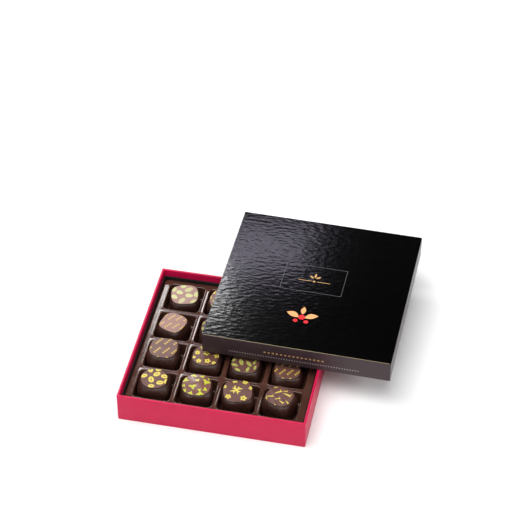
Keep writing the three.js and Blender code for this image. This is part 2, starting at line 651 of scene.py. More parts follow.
@dataclass(frozen=True)
class GrainedCard(Finish):
    """Black paper embossed with a fine leather grain and laminated: a sheen broken into short waves."""

    name: str = "grained_black_lid_paper"
    base: str = "#010101"
    relief_depth: float = 0.2

    def surface(self, tree: bpy.types.NodeTree) -> bpy.types.Node:
        """Adds the shader, with waves of 2.8 mm, drawn out along the front edge.

        Args:
            tree: the material's node tree.

        Returns:
            The shader node.
        """
        gloss = self.patches(tree, 6.0, 0.15, 0.18)
        normal = self.relief(tree, 2.8, self.relief_depth, 0.8, (2.0, 1.0, 1.0))
        return add(
            tree,
            "ShaderNodeBsdfPrincipled",
            None,
            {"Base Color": linear(self.base), "Roughness": gloss, "Normal": normal, "IOR": 1.44},
        )


@dataclass(frozen=True)
class SmoothCard(Finish):
    """The lid's sides: the same black paper drawn smooth over the fold, lightened and warmed to paint
    reflected light.
    """

    name: str = "smooth_black_lid_side"
    # painted reflected light: the sides' black is lighter and pinker than the top's, standing in for the
    # red box's light on them
    base: str = "#382A2E"

    def surface(self, tree: bpy.types.NodeTree) -> bpy.types.Node:
        """Adds the shader, with the board's long waves under an even gloss.

        Args:
            tree: the material's node tree.

        Returns:
            The shader node.
        """
        gloss = self.patches(tree, 14.0, 0.3, 0.36, 0.0)
        normal = self.relief(tree, 24.0, 0.03, 0.0)
        return add(
            tree,
            "ShaderNodeBsdfPrincipled",
            None,
            {"Base Color": linear(self.base), "Roughness": gloss, "Normal": normal, "IOR": 1.4},
        )


@dataclass(frozen=True)
class PrintAndHighlightInk(Finish):
    """Offset or foil print on the lid, and the painted edge highlight: a thin even layer with a slightly
    broken edge to its gloss.
    """

    name: str = "foil_gold"
    colour: str = "#C89B62"
    roughness: float = 0.42

    def surface(self, tree: bpy.types.NodeTree) -> bpy.types.Node:
        """Adds the shader, with specks of 0.4 mm in its gloss.

        Args:
            tree: the material's node tree.

        Returns:
            The shader node.
        """
        gloss = self.patches(tree, 0.4, self.roughness - 0.05, self.roughness + 0.05)
        return add(
            tree,
            "ShaderNodeBsdfPrincipled",
            None,
            {"Base Color": linear(self.colour), "Roughness": gloss},
        )


@dataclass(frozen=True)
class PaleFloor(Finish):
    """A plain white studio sweep, painted matt, with an even tone."""

    name: str = "pale_floor"
    base: str = "#F4F4F4"

    def surface(self, tree: bpy.types.NodeTree) -> bpy.types.Node:
        """Adds the shader.

        Args:
            tree: the material's node tree.

        Returns:
            The shader node.
        """
        return add(
            tree,
            "ShaderNodeBsdfPrincipled",
            None,
            {"Base Color": linear(self.base), "Roughness": 0.9},
        )


@dataclass
class WrappedBox:
    """The box: floor and four board walls, wrapped in red paper that turns in over the rim."""

    side: float = 160.0
    height: float = 27.7
    board: float = 2.0
    corner: float = 0.9
    inner_corner: float = 0.5
    inner_fillet: float = 0.4
    rim_round: float = 0.5
    foot_round: float = 0.3
    # a ring this far down keeps the rim's shading off the inner wall
    rim_shade: float = 6.0

    def profile(self) -> list[Point]:
        """Gives the rings from the inner floor over the rim to the underside.

        Returns:
            Half width, height and corner radius of each ring.
        """
        outer = self.side / 2
        inner = outer - self.board
        rim, foot_round, fillet = self.rim_round, self.foot_round, self.inner_fillet
        top = self.height - rim
        inside = [
            (inner - fillet, self.board, self.inner_corner - fillet),
            (inner, self.board + fillet, self.inner_corner),
            (inner, top - self.rim_shade, self.inner_corner),
        ]
        turn_in = rounded_edge(inner + rim, top, rim, 180, 90, self.inner_corner + rim)
        turn_out = rounded_edge(outer - rim, top, rim, 90, 0, max(self.corner - rim, SHARPEST))
        foot = rounded_edge(outer - foot_round, foot_round, foot_round, 0, -90, self.corner - foot_round)
        return inside + turn_in + turn_out + foot

    def build(self) -> bpy.types.Object:
        """Builds the box and puts it in the frame.

        Returns:
            The piece.
        """
        obj = mesh_object("wrapped_box", *turned_square(self.profile(), 6, 1))
        face_outwards(obj)
        obj.data.materials.append(CoatedPaper().build())
        return finish_piece(obj, "wrap_red", "box_base")


@dataclass
class CardLiner:
    """The black card band, which keeps its CAD mesh."""

    node: str = "wall_liner"

    def build(self) -> bpy.types.Object:
        """Gives the node its card finish.

        Returns:
            The CAD node's object.
        """
        obj = frame["nodes"][self.node]
        obj.data.materials.clear()
        obj.data.materials.append(LinerCard().build())
        log.info("%s: %d faces", obj.name, len(obj.data.polygons))
        return obj


@dataclass
class PocketTray:
    """The insert: one brown sheet with a pocket for each praline, a flange and a skirt."""

    top: float = 18.8
    side: float = 152.4
    corner: float = 4.0
    count: int = 4
    pitch: float = 36.0
    shift: Flat = (-0.2, 0.9)
    mouth: float = 32.4
    foot: float = 31.0
    floor: float = 6.0
    pocket_corner: float = 3.6
    groove: float = 0.2
    # how far the flange falls outwards on the right, far, left and near side
    flange_falls: tuple[float, float, float, float] = (0.3, 0.4, 0.0, 0.3)
    edge_bend: float = 0.6
    sheet: float = 0.5
    skirt_foot: float = 2.3
    corner_steps: int = 6
    side_steps: int = 6

    def centre(self, row: int, column: int) -> Flat:
        """Gives a pocket's middle, with rows from the far side and columns from the left.

        Args:
            row: the row, 0 at the far side.
            column: the column, 0 on the left.

        Returns:
            The pocket's middle.
        """
        middle = (self.count - 1) / 2
        return (
            self.shift[0] + (column - middle) * self.pitch,
            self.shift[1] + (middle - row) * self.pitch,
        )

    def cell_edge(self) -> list[Flat]:
        """Gives the points round one cell's square, one for each point round its pocket.

        Returns:
            The points, anticlockwise.
        """
        half = self.pitch / 2
        centre = self.mouth / 2 - self.pocket_corner
        corners = []
        for quarter in range(4):
            sx = 1 if quarter in (0, 3) else -1
            sy = 1 if quarter < 2 else -1
            arc = []
            for step in range(self.corner_steps + 1):
                angle = (quarter + step / self.corner_steps) * math.pi / 2
                c, s = abs(math.cos(angle)), abs(math.sin(angle))
                reach = min((half - centre) / max(c, 1e-9), (half - centre) / max(s, 1e-9))
                arc.append((sx * (centre + reach * c), sy * (centre + reach * s)))
            corners.append(arc)
        return with_sides(corners, self.side_steps)

    def cell(self) -> bpy.types.Object:
        """Makes one cell: half a divider all round, a raised lip, the wall and the floor.

        Returns:
            The cell, an open sheet about the origin.
        """
        mouth, foot, top = self.mouth / 2, self.foot / 2, self.top
        radius = self.pocket_corner
        low = self.floor
        # half width, height and corner radius, from the divider's middle to the floor
        profile = [
            (mouth + 1.25, top - self.groove, radius + 1.25),
            (mouth + 0.85, top - 0.08, radius + 0.85),
            (mouth + 0.5, top, radius + 0.5),
            (mouth + 0.1, top - 0.06, radius + 0.1),
            (mouth - 0.2, top - 0.3, radius - 0.2),
            (mouth - 0.4, top - 0.7, radius - 0.4),
            (mouth - 0.5, top - 1.6, radius - 0.5),
            (foot + 0.05, top - 6.0, radius - 0.5),
            (foot, low + 1.6, radius - 0.5),
            (foot - 0.25, low + 0.7, radius - 0.6),
            (foot - 0.8, low + 0.15, radius - 0.9),
            (foot - 1.6, low, radius - 1.2),
            (foot / 2, low, radius / 2),
        ]
        rings = [[(x, y, top - self.groove) for x, y in self.cell_edge()]]
        for half, z, arc in profile:
            ring = square_ring(half, max(arc, 0.4), self.corner_steps, self.side_steps)
            rings.append([(x, y, z) for x, y in ring])
        points, faces = loft(rings, closed_ends=False)
        count = len(rings[0])
        centre = len(points)
        points.append((0.0, 0.0, low))
        last = centre - count
        faces.extend([last + i, last + (i + 1) % count, centre] for i in range(count))
        return mesh_object("pocket_cell", points, faces)

    def block_edge(self) -> list[tuple[int, float]]:
        """Gives the points round the block of cells, as a side number and a place from -1 to 1 along it.

        Returns:
            The side and the place of each point.
        """
        half = self.pitch / 2
        ticks = sorted({round(y, 6) for x, y in self.cell_edge() if abs(x - half) < 1e-6})
        reach = self.pitch * self.count / 2
        places = []
        for cell in range(self.count):
            middle = (cell - (self.count - 1) / 2) * self.pitch
            places.extend((middle + tick) / reach for tick in ticks[:-1])
        return [(quarter, place) for quarter in range(4) for place in places]

    @staticmethod
    def turn(quarter: int, x: float, y: float) -> Flat:
        """Turns a point by a number of quarters, anticlockwise.

        Args:
            quarter: the number of quarters.
            x: the point's X.
            y: the point's Y.

        Returns:
            The turned point.
        """
        for _ in range(quarter):
            x, y = -y, x
        return x, y

    def outline(self, quarter: int, place: float, inset: float) -> Flat:
        """Gives the flange outline's point at a place along one side, set in by a distance.

        Args:
            quarter: the side, 0 on the right and then anticlockwise.
            place: how far along the side, from -1 to 1.
            inset: the distance from the sheet's outer edge.

        Returns:
            The point.
        """
        half = self.side / 2 - inset
        radius = self.corner - inset
        straight = half - radius
        along = abs(place) * (straight + radius * math.pi / 4)
        if along <= straight:
            x, y = half, along
        else:
            angle = (along - straight) / radius
            x, y = straight + radius * math.cos(angle), straight + radius * math.sin(angle)
        return self.turn(quarter, x, math.copysign(y, place))

    def flange_fall(self, quarter: int, place: float) -> float:
        """Gives the flange's fall at a place along one side, evened out round the corners.

        Args:
            quarter: the side.
            place: how far along the side, from -1 to 1.

        Returns:
            The fall.
        """
        beside = self.flange_falls[(quarter + (1 if place > 0 else -1)) % 4]
        share = max(0.0, abs(place) - 0.9) * 5.0
        return self.flange_falls[quarter] * (1 - share) + beside * share

    def border(self) -> bpy.types.Object:
        """Makes the flange round the block of cells, its rounded edge and the skirt.

        Returns:
            The border, an open sheet.
        """
        reach = self.pitch * self.count / 2
        edge = self.block_edge()
        inner = []
        for quarter, place in edge:
            x, y = self.turn(quarter, reach, place * reach)
            inner.append((x + self.shift[0], y + self.shift[1]))
        start = self.top - self.groove
        rings = [[(x, y, start) for x, y in inner]]
        bend = self.edge_bend
        flange = [self.outline(quarter, place, bend) for quarter, place in edge]
        falls = [self.flange_fall(quarter, place) for quarter, place in edge]
        for share in (0.5, 1.0):
            rings.append(
                [
                    (a + (c - a) * share, b + (d - b) * share, start - fall * share)
                    for (a, b), (c, d), fall in zip(inner, flange, falls)
                ]
            )
        for degrees in (60, 30, 0):
            angle = math.radians(degrees)
            inset, down = bend * (1 - math.cos(angle)), bend * (1 - math.sin(angle))
            rings.append(
                [
                    (*self.outline(quarter, place, inset), start - fall - down)
                    for (quarter, place), fall in zip(edge, falls)
                ]
            )
        rings.append([(*self.outline(quarter, place, 0.0), self.skirt_foot) for quarter, place in edge])
        points, faces = loft(rings, closed_ends=False)
        return mesh_object("formed_tray", points, [face[::-1] for face in faces])

    def tree(self) -> bpy.types.NodeTree:
        """Builds the tree that sets the cells side by side and welds them to the flange.

        Returns:
            The tree.
        """
        tree, given = geometry_tree(
            "pocket_rows",
            {
                "Cell": "NodeSocketObject",
                "Pitch": "NodeSocketFloat",
                "Count": "NodeSocketInt",
                "Shift": "NodeSocketVector",
                "Weld": "NodeSocketFloat",
                "Material": "NodeSocketMaterial",
            },
        )
        gaps = add(tree, "ShaderNodeMath", {"operation": "SUBTRACT"}, {0: given.outputs["Count"], 1: 1.0})
        span = add(
            tree,
            "ShaderNodeMath",
            {"operation": "MULTIPLY"},
            {0: gaps.outputs[0], 1: given.outputs["Pitch"]},
        )
        grid = add(
            tree,
            "GeometryNodeMeshGrid",
            None,
            {0: span.outputs[0], 1: span.outputs[0], 2: given.outputs["Count"], 3: given.outputs["Count"]},
        )
        moved = add(
            tree,
            "GeometryNodeTransform",
            None,
            {"Geometry": grid.outputs[0], "Translation": given.outputs["Shift"]},
        )
        cell = add(tree, "GeometryNodeObjectInfo", None, {"Object": given.outputs["Cell"]})
        cells = add(
            tree,
            "GeometryNodeInstanceOnPoints",
            None,
            {"Points": moved.outputs[0], "Instance": cell.outputs["Geometry"]},
        )
        joined = add(tree, "GeometryNodeJoinGeometry")
        tree.links.new(given.outputs["Geometry"], joined.inputs[0])
        tree.links.new(cells.outputs[0], joined.inputs[0])
        real = add(tree, "GeometryNodeRealizeInstances", None, {0: joined.outputs[0]})
        weld = add(
            tree,
            "GeometryNodeMergeByDistance",
            None,
            {"Geometry": real.outputs[0], "Distance": given.outputs["Weld"]},
        )
        dressed = add(
            tree,
            "GeometryNodeSetMaterial",
            None,
            {"Geometry": weld.outputs[0], "Material": given.outputs["Material"]},
        )
        add(tree, "NodeGroupOutput", None, {0: dressed.outputs[0]})
        return tree

    def build(self) -> bpy.types.Object:
        """Builds the insert, gives the sheet its thickness and puts it in the frame.

        Returns:
            The piece.
        """
        obj = self.border()
        cell = self.cell()
        run_tree(
            obj,
            self.tree(),
            {
                "Cell": cell,
                "Pitch": self.pitch * MM,
                "Count": self.count,
                "Shift": (self.shift[0] * MM, self.shift[1] * MM, 0.0),
                "Weld": 0.02 * MM,
                "Material": FormedSheet().build(),
            },
        )
        drop(cell)
        self.face_up(obj)
        thickness = obj.modifiers.new("sheet", "SOLIDIFY")
        thickness.thickness = self.sheet * MM
        thickness.offset = -1.0
        keep_result(obj)
        smooth(obj, 60.0)
        return finish_piece(obj, "sheet_brown", "praline_tray")

    @staticmethod
    def face_up(obj: bpy.types.Object) -> None:
        """Makes all faces agree and turns the sheet over if its flange looks down.

        Args:
            obj: the sheet's object.
        """
        sheet = bmesh.new()
        sheet.from_mesh(obj.data)
        bmesh.ops.recalc_face_normals(sheet, faces=sheet.faces)
        sheet.normal_update()
        level = sum(face.normal.z * face.calc_area() for face in sheet.faces)
        if level < 0:
            bmesh.ops.reverse_faces(sheet, faces=sheet.faces)
        sheet.to_mesh(obj.data)
        sheet.free()


class Motif(Enum):
    """The common motifs of cocoa-butter prints. The value is the order in the collection."""

    BEAN = 0
    LEAF = 1
    BLOSSOM = 2
    STAR = 3
    POD = 4
    DASH = 5
    PATCH = 6
    ALMOND = 7
    STRIPED = 8


def ellipse(cx: float, cy: float, rx: float, ry: float, turn: float = 0.0, steps: int = 20) -> list[Flat]:
    """Gives the points round an ellipse.

    Args:
        cx: its middle along X.
        cy: its middle along Y.
        rx: its half length.
        ry: its half width.
        turn: its turn in degrees.
        steps: the number of points.

    Returns:
        The points, anticlockwise.
    """
    c, s = math.cos(math.radians(turn)), math.sin(math.radians(turn))
    points = []
    for i in range(steps):
        angle = 2 * math.pi * i / steps
        x, y = rx * math.cos(angle), ry * math.sin(angle)
        points.append((cx + c * x - s * y, cy + s * x + c * y))
    return points


def spindle(
    length: float,
    width: float,
    turn: float = 0.0,
    base: Flat = (0.0, 0.0),
    bend: float = 0.0,
    steps: int = 10,
) -> list[Flat]:
    """Gives the outline of a pointed leaf or petal that starts at a base.

    Args:
        length: its length.
        width: its greatest width.
        turn: its direction in degrees.
        base: where it starts.
        bend: how far its middle is pushed sideways.
        steps: points along each edge.

    Returns:
        The points, anticlockwise.
    """
    c, s = math.cos(math.radians(turn)), math.sin(math.radians(turn))
    edge = []
    for side in (-1, 1):
        run = range(steps + 1) if side < 0 else range(steps - 1, 0, -1)
        for i in run:
            t = i / steps
            x = length * t
            y = side * width / 2 * math.sin(math.pi * t) + bend * math.sin(math.pi * t)
            edge.append((base[0] + c * x - s * y, base[1] + s * x + c * y))
    return edge


@dataclass
class MotifSet:
    """The flat motifs, each about a millimetre long, in a collection that the print tree picks from."""

    name: str = "print_motifs"
    slit: float = 0.085

    def halves(self, half: Callable[[int], list[Flat]]) -> list[list[Flat]]:
        """Gives a shape's two halves, which a slit keeps apart."""
        return [half(1), half(-1)]

    def bean(self) -> list[list[Flat]]:
        """Gives a coffee bean: an oval with a short slit in its middle.

        Returns:
            The outlines.
        """
        crossings = [-0.44 + 0.88 * i / 12 for i in range(13)]
        return self.halves(
            lambda side: [
                (0.5 * math.cos(math.pi * i / 12), side * 0.34 * math.sin(math.pi * i / 12))
                for i in range(13)
            ]
            + [(x, side * self.slit * max(0.0, 1 - (x / 0.36) ** 2)) for x in crossings]
        )

    def leaf(self) -> list[list[Flat]]:
        """Gives a pointed leaf with a bare midrib.

        Returns:
            The outlines.
        """
        return self.halves(
            lambda side: [
                (-0.5 + i / 12, side * (0.04 + 0.17 * math.sin(math.pi * i / 12) ** 0.9)) for i in range(13)
            ]
            + [(0.5, side * 0.04), (-0.5, side * 0.04)]
        )

    def blossom(self) -> list[list[Flat]]:
        """Gives a blossom of five round petals.

        Returns:
            The outlines.
        """
        petal = ellipse(0.28, 0.0, 0.17, 0.13)
        petals = []
        for k in range(5):
            angle = math.radians(72 * k + 18)
            c, s = math.cos(angle), math.sin(angle)
            petals.append([(c * x - s * y, s * x + c * y) for x, y in petal])
        return petals

    def star(self) -> list[list[Flat]]:
        """Gives a spice star of eight slim, bent arms.

        Returns:
            The outlines.
        """
        reaches = (0.5, 0.38, 0.47, 0.36, 0.5, 0.4, 0.45, 0.37)
        arms = [spindle(far, 0.1, 45 * k + 12, bend=0.04 * (-1) ** k) for k, far in enumerate(reaches)]
        return arms + [ellipse(0.0, 0.0, 0.07, 0.07)]

    def pod(self) -> list[list[Flat]]:
        """Gives a slim bent pod with a thin leaf near one end.

        Returns:
            The outlines.
        """
        return [
            spindle(1.0, 0.14, 0.0, (-0.5, 0.0), 0.09),
            spindle(0.36, 0.08, 62.0, (0.2, 0.07), 0.02),
        ]

    def dash(self) -> list[list[Flat]]:
        """Gives a short bar with square ends."""
        return [[(-0.36, -0.5), (0.36, -0.5), (0.36, 0.5), (-0.36, 0.5)]]

    def patch(self) -> list[list[Flat]]:
        """Gives a ragged flake, broad along one edge and drawn out to a point.

        Returns:
            The outlines.
        """
        return [
            [
                (-0.5, 0.24),
                (-0.36, 0.08),
                (-0.2, -0.04),
                (-0.1, -0.24),
                (0.05, -0.44),
                (0.12, -0.14),
                (0.3, -0.02),
                (0.5, 0.2),
                (0.3, 0.16),
                (0.16, 0.3),
                (-0.04, 0.17),
                (-0.22, 0.31),
            ]
        ]

    def almond(self) -> list[list[Flat]]:
        """Gives a rounded kernel with one blunt end.

        Returns:
            The outlines.
        """
        return [
            [
                (0.48 * math.cos(a), 0.34 * math.sin(a) * (1 - 0.22 * math.cos(a)))
                for a in (2 * math.pi * i / 24 for i in range(24))
            ]
        ]

    def striped(self) -> list[list[Flat]]:
        """Gives a kernel drawn in five slanting stripes.

        Returns:
            The outlines.
        """
        stripes = []
        for across in (-0.28, -0.14, 0.0, 0.14, 0.28):
            reach = 0.5 * math.sqrt(1 - (across / 0.36) ** 2)
            slant = across * 0.4
            stripes.append(
                [
                    (slant - reach, across - 0.03),
                    (slant + reach, across - 0.03),
                    (slant + reach, across + 0.03),
                    (slant - reach, across + 0.03),
                ]
            )
        return stripes

    def build(self) -> bpy.types.Collection:
        """Makes one flat mesh for each motif, in the order of the Motif values.

        Returns:
            The collection.
        """
        shapes = {
            Motif.BEAN: self.bean,
            Motif.LEAF: self.leaf,
            Motif.BLOSSOM: self.blossom,
            Motif.STAR: self.star,
            Motif.POD: self.pod,
            Motif.DASH: self.dash,
            Motif.PATCH: self.patch,
            Motif.ALMOND: self.almond,
            Motif.STRIPED: self.striped,
        }
        collection = bpy.data.collections.new(self.name)
        bpy.context.scene.collection.children.link(collection)
        for motif, make in shapes.items():
            points: list[Point] = []
            faces = []
            for shape in make():
                faces.append(list(range(len(points), len(points) + len(shape))))
                points.extend((x, y, 0.0) for x, y in shape)
            obj = mesh_object(f"motif_{motif.value}_{motif.name.lower()}", points, faces)
            bpy.context.scene.collection.objects.unlink(obj)
            collection.objects.link(obj)
        return collection


class Ink(Enum):
    """The cocoa-butter inks, by name and colour."""

    YELLOW = "#E8D358"
    LIME = "#C8CC3A"
    PALE_GREEN = "#C6CC86"
    OLIVE = "#B6B85A"
    GOLD = "#D9B84C"


@dataclass
class Mark:
    """One printed motif: its place on the top, its turn in degrees and its length, in millimetres."""

    motif: Motif
    x: float
    y: float
    turn: float
    size: float


@dataclass
class Print:
    """What is printed on one praline: its ink and its marks, or a scatter of one motif of one size."""

    ink: Ink
    marks: list[Mark] = field(default_factory=list)
    scatter: Motif | None = None
    size: float = 5.5
    # the chocolate under the print; on a few tops it is paler, to paint the light reflected from them
    ground: str = "#5A352C"
    roughness: float = 0.37


def marks(motif: Motif, rows: Sequence[tuple[float, float, float, float]]) -> list[Mark]:
    """Gives marks of one motif from rows of place, turn and length."""
    return [Mark(motif, *row) for row in rows]


def dashes(turn: float, line_gap: float, length: float, phase: float) -> list[Mark]:
    """Gives plain dashes in slanting lines across a whole top, four and then a gap.

    Args:
        turn: the lines' direction in degrees.
        line_gap: the distance between lines.
        length: the length of a dash.
        phase: how far the lines are shifted, as a share of the gap.

    Returns:
        The marks.
    """
    c, s = math.cos(math.radians(turn)), math.sin(math.radians(turn))
    made = []
    for line in range(-3, 4):
        across = (line + phase) * line_gap
        for step in range(-10, 11):
            if (step + 2 * line) % 6 < 2:
                continue
            along = step * length * 1.5
            made.append(Mark(Motif.DASH, c * along - s * across, s * along + c * across, turn, length))
    return made


PRINTS: dict[Seat, Print] = {
    (1, 1): Print(
        Ink.PALE_GREEN,
        marks(
            Motif.ALMOND,
            [
                (-4.4, 2.7, -29, 6.6),
                (4.1, -1.6, -9, 7.0),
                (10.9, 0.0, 83, 7.0),
                (-9.3, -2.8, -46, 6.4),
                (-1.0, 10.6, 6, 5.5),
            ],
        )
        + marks(
            Motif.STRIPED,
            [
                (3.8, 6.0, 13, 7.6),
                (-2.5, -7.9, 33, 7.0),
                (7.9, -9.6, 27, 6.6),
                (-9.4, 6.6, 51, 6.0),
            ],
        ),
        # painted sheen: this top's paler ground stands in for the rear-left softbox's reflection
        ground="#946F66",
    ),
    # painted sheen: the paler grounds of this top and the next stand in for the rear-left softbox's
    # reflection
    (2, 1): Print(Ink.GOLD, dashes(74.0, 5.6, 1.5, 0.1), ground="#916C62"),
    (3, 1): Print(Ink.GOLD, dashes(60.0, 6.2, 1.5, 0.35), ground="#5F3B31"),
    (4, 1): Print(
        Ink.YELLOW,
        marks(
            Motif.BEAN,
            [
                (-5.0, 9.6, -65, 6.2),
                (2.4, 11.0, 28, 5.6),
                (-8.9, 1.9, 35, 5.4),
                (1.5, 5.1, 41, 6.2),
                (8.3, 3.3, -12, 5.9),
                (-2.3, -1.6, -73, 6.6),
                (5.7, -4.3, 15, 6.0),
                (11.0, -2.2, 85, 5.6),
                (-1.0, -8.8, 8, 5.2),
                (-10.8, 8.2, 77, 4.9),
            ],
        ),
    ),
    (1, 2): Print(Ink.YELLOW, scatter=Motif.BLOSSOM, size=5.6, ground="#7E5A50"),
    (2, 2): Print(Ink.OLIVE, scatter=Motif.LEAF, size=6.2),
    (3, 2): Print(
        Ink.YELLOW,
        marks(
            Motif.BLOSSOM,
            [
                (-7.8, 2.9, 9, 5.2),
                (0.3, 3.4, 40, 6.6),
                (9.3, 1.3, 20, 5.4),
                (-5.1, -6.7, 9, 5.4),
                (2.5, -5.9, 60, 6.0),
                (-10.0, -3.0, 30, 3.6),
                (8.2, -7.4, 0, 4.4),
                (-4.0, 9.6, 15, 5.4),
                (5.2, 10.2, 50, 5.2),
            ],
        ),
    ),
    (4, 2): Print(
        Ink.LIME,
        marks(
            Motif.PATCH,
            [
                (-3.1, -2.6, 6, 7.0),
                (-9.4, 5.2, 68, 6.0),
                (-3.0, 10.8, 175, 5.6),
                (4.4, 9.2, 18, 4.8),
                (8.0, 2.8, -22, 7.4),
                (10.2, 7.0, 100, 2.8),
                (2.8, -6.0, 12, 3.8),
                (7.4, -5.2, -58, 4.8),
                (3.6, -9.8, 186, 7.2),
                (-4.4, -9.4, 158, 4.6),
                (-9.6, -6.4, 140, 4.4),
                (-10.8, -1.4, 42, 3.8),
                (0.6, 4.2, 30, 4.6),
            ],
        ),
        # painted highlight: the paler ground stands in for part of the light on this lifted top, with its
        # bump and lower roughness
        ground="#6E463D",
        roughness=0.27,
    ),
    (1, 3): Print(Ink.YELLOW, scatter=Motif.BEAN, size=5.8),
    (2, 3): Print(Ink.PALE_GREEN, scatter=Motif.ALMOND, size=6.0),
    (3, 3): Print(
        Ink.OLIVE,
        marks(
            Motif.LEAF,
            [
                (-8.9, -4.4, -15, 6.6),
                (-3.7, -0.3, -67, 7.6),
                (3.2, -0.9, -47, 7.4),
                (-11.0, 0.8, 39, 4.8),
                (7.8, 1.9, 75, 5.4),
                (3.5, -7.6, 79, 5.8),
                (-5.0, -9.6, -27, 5.6),
                (9.3, -4.4, 87, 5.0),
                (-5.5, 7.4, 20, 6.6),
                (2.6, 8.8, -50, 6.4),
            ],
        ),
    ),
    (4, 3): Print(
        Ink.YELLOW,
        [Mark(Motif.STAR, -1.2, 1.4, -2, 11.5)]
        + marks(
            Motif.BLOSSOM,
            [
                (-2.1, 11.8, 10, 5.4),
                (6.8, 9.8, 40, 5.4),
                (11.4, 2.8, 20, 4.4),
                (-11.2, 5.5, 0, 4.4),
                (-8.4, -5.9, 30, 5.8),
                (4.5, -8.4, 55, 6.4),
            ],
        ),
    ),
    (1, 4): Print(Ink.LIME, scatter=Motif.PATCH, size=6.2),
    (2, 4): Print(Ink.GOLD, scatter=Motif.POD, size=6.4),
    (3, 4): Print(Ink.GOLD, dashes(50.0, 5.4, 1.4, 0.2)),
    (4, 4): Print(
        Ink.YELLOW,
        marks(
            Motif.POD,
            [
                (-2.9, 3.3, 47, 7.8),
                (4.9, 3.9, -6, 8.8),
                (1.6, 7.4, 20, 4.0),
                (-6.6, -4.9, 27, 6.2),
                (0.5, -4.3, 40, 5.6),
                (5.0, -6.3, -22, 6.0),
                (9.5, -3.8, -34, 5.6),
                (-9.2, -8.0, -76, 4.2),
                (1.4, -12.2, 30, 3.0),
                (-8.4, 7.0, 36, 3.4),
            ],
        ),
    ),
}


@dataclass
class PrintPress:
    """The tree that lays a praline's motifs on its top and notes how near each point is to the ink."""

    gap: float = 6.4

    def places(self, tree: bpy.types.NodeTree, given: bpy.types.Node) -> bpy.types.NodeSocket:
        """Adds the points that motifs stand on: the layout's own, or some scattered over its face.

        Args:
            tree: the print tree.
            given: its input node.

        Returns:
            The points, each with a turn, a size and a motif number.
        """
        layout = add(tree, "GeometryNodeObjectInfo", None, {"Object": given.outputs["Layout"]})
        loose = add(
            tree,
            "GeometryNodeDistributePointsOnFaces",
            {"distribute_method": "POISSON"},
            {
                "Mesh": layout.outputs["Geometry"],
                "Distance Min": given.outputs["Gap"],
                "Density Max": 1.0e6,
                "Seed": given.outputs["Seed"],
            },
        )
        spin = add(
            tree,
            "FunctionNodeRandomValue",
            {"data_type": "FLOAT"},
            {2: 0.0, 3: 2 * math.pi, "Seed": given.outputs["Seed"]},
        )
        points = loose.outputs["Points"]
        for name, kind, value in (
            ("turn", "FLOAT", spin.outputs[1]),
            ("size", "FLOAT", given.outputs["Scatter Size"]),
            ("motif", "INT", given.outputs["Scatter Motif"]),
        ):
            noted = add(
                tree,
                "GeometryNodeStoreNamedAttribute",
                {"data_type": kind, "domain": "POINT"},
                {"Geometry": points, "Name": name, "Value": value},
            )
            points = noted.outputs[0]
        chosen = add(
            tree,
            "GeometryNodeSwitch",
            {"input_type": "GEOMETRY"},
            {0: given.outputs["Scatter"], 1: layout.outputs["Geometry"], 2: points},
        )
        return chosen.outputs[0]

    def stamped(
        self, tree: bpy.types.NodeTree, given: bpy.types.Node, places: bpy.types.NodeSocket
    ) -> bpy.types.NodeSocket:
        """Sets each point's motif on it, turned and sized.

        Args:
            tree: the print tree.
            given: its input node.
            places: the points.

        Returns:
            The motifs' faces, on the plane under the top.
        """
        turn, size, motif = (
            add(tree, "GeometryNodeInputNamedAttribute", {"data_type": kind}, {0: name})
            for name, kind in (("turn", "FLOAT"), ("size", "FLOAT"), ("motif", "INT"))
        )
        angles = add(tree, "ShaderNodeCombineXYZ", None, {2: turn.outputs[0]})
        shapes = add(
            tree,
            "GeometryNodeCollectionInfo",
            None,
            {0: given.outputs["Motifs"], "Separate Children": True, "Reset Children": True},
        )
        stamped = add(
            tree,
            "GeometryNodeInstanceOnPoints",
            None,
            {
                "Points": places,
                "Instance": shapes.outputs[0],
                "Pick Instance": True,
                "Instance Index": motif.outputs[0],
                "Rotation": angles.outputs[0],
                "Scale": size.outputs[0],
            },
        )
        real = add(tree, "GeometryNodeRealizeInstances", None, {0: stamped.outputs[0]})
        return real.outputs[0]

    def tree(self) -> bpy.types.NodeTree:
        """Builds the tree, which notes each point's distance from the ink and sets the materials.

        Returns:
            The tree.
        """
        tree, given = geometry_tree(
            "transfer_print",
            {
                "Layout": "NodeSocketObject",
                "Motifs": "NodeSocketCollection",
                "Scatter": "NodeSocketBool",
                "Scatter Motif": "NodeSocketInt",
                "Scatter Size": "NodeSocketFloat",
                "Gap": "NodeSocketFloat",
                "Seed": "NodeSocketInt",
                "Body Material": "NodeSocketMaterial",
                "Top Material": "NodeSocketMaterial",
            },
        )
        motifs = self.stamped(tree, given, self.places(tree, given))
        position = add(tree, "GeometryNodeInputPosition")
        flat = add(
            tree,
            "ShaderNodeVectorMath",
            {"operation": "MULTIPLY"},
            {0: position.outputs[0], 1: (1.0, 1.0, 0.0)},
        )
        near = add(
            tree,
            "GeometryNodeProximity",
            {"target_element": "FACES"},
            {0: motifs, "Sample Position": flat.outputs[0]},
        )
        inked = add(
            tree,
            "GeometryNodeStoreNamedAttribute",
            {"data_type": "FLOAT", "domain": "POINT"},
            {
                "Geometry": given.outputs["Geometry"],
                "Name": "ink_distance",
                "Value": near.outputs["Distance"],
            },
        )
        body = add(
            tree,
            "GeometryNodeSetMaterial",
            None,
            {"Geometry": inked.outputs[0], "Material": given.outputs["Body Material"]},
        )
        printed = add(tree, "GeometryNodeInputNamedAttribute", {"data_type": "BOOLEAN"}, {0: "printed"})
        top = add(
            tree,
            "GeometryNodeSetMaterial",
            None,
            {
                "Geometry": body.outputs[0],
                "Selection": printed.outputs[0],
                "Material": given.outputs["Top Material"],
            },
        )
        add(tree, "NodeGroupOutput", None, {0: top.outputs[0]})
        return tree


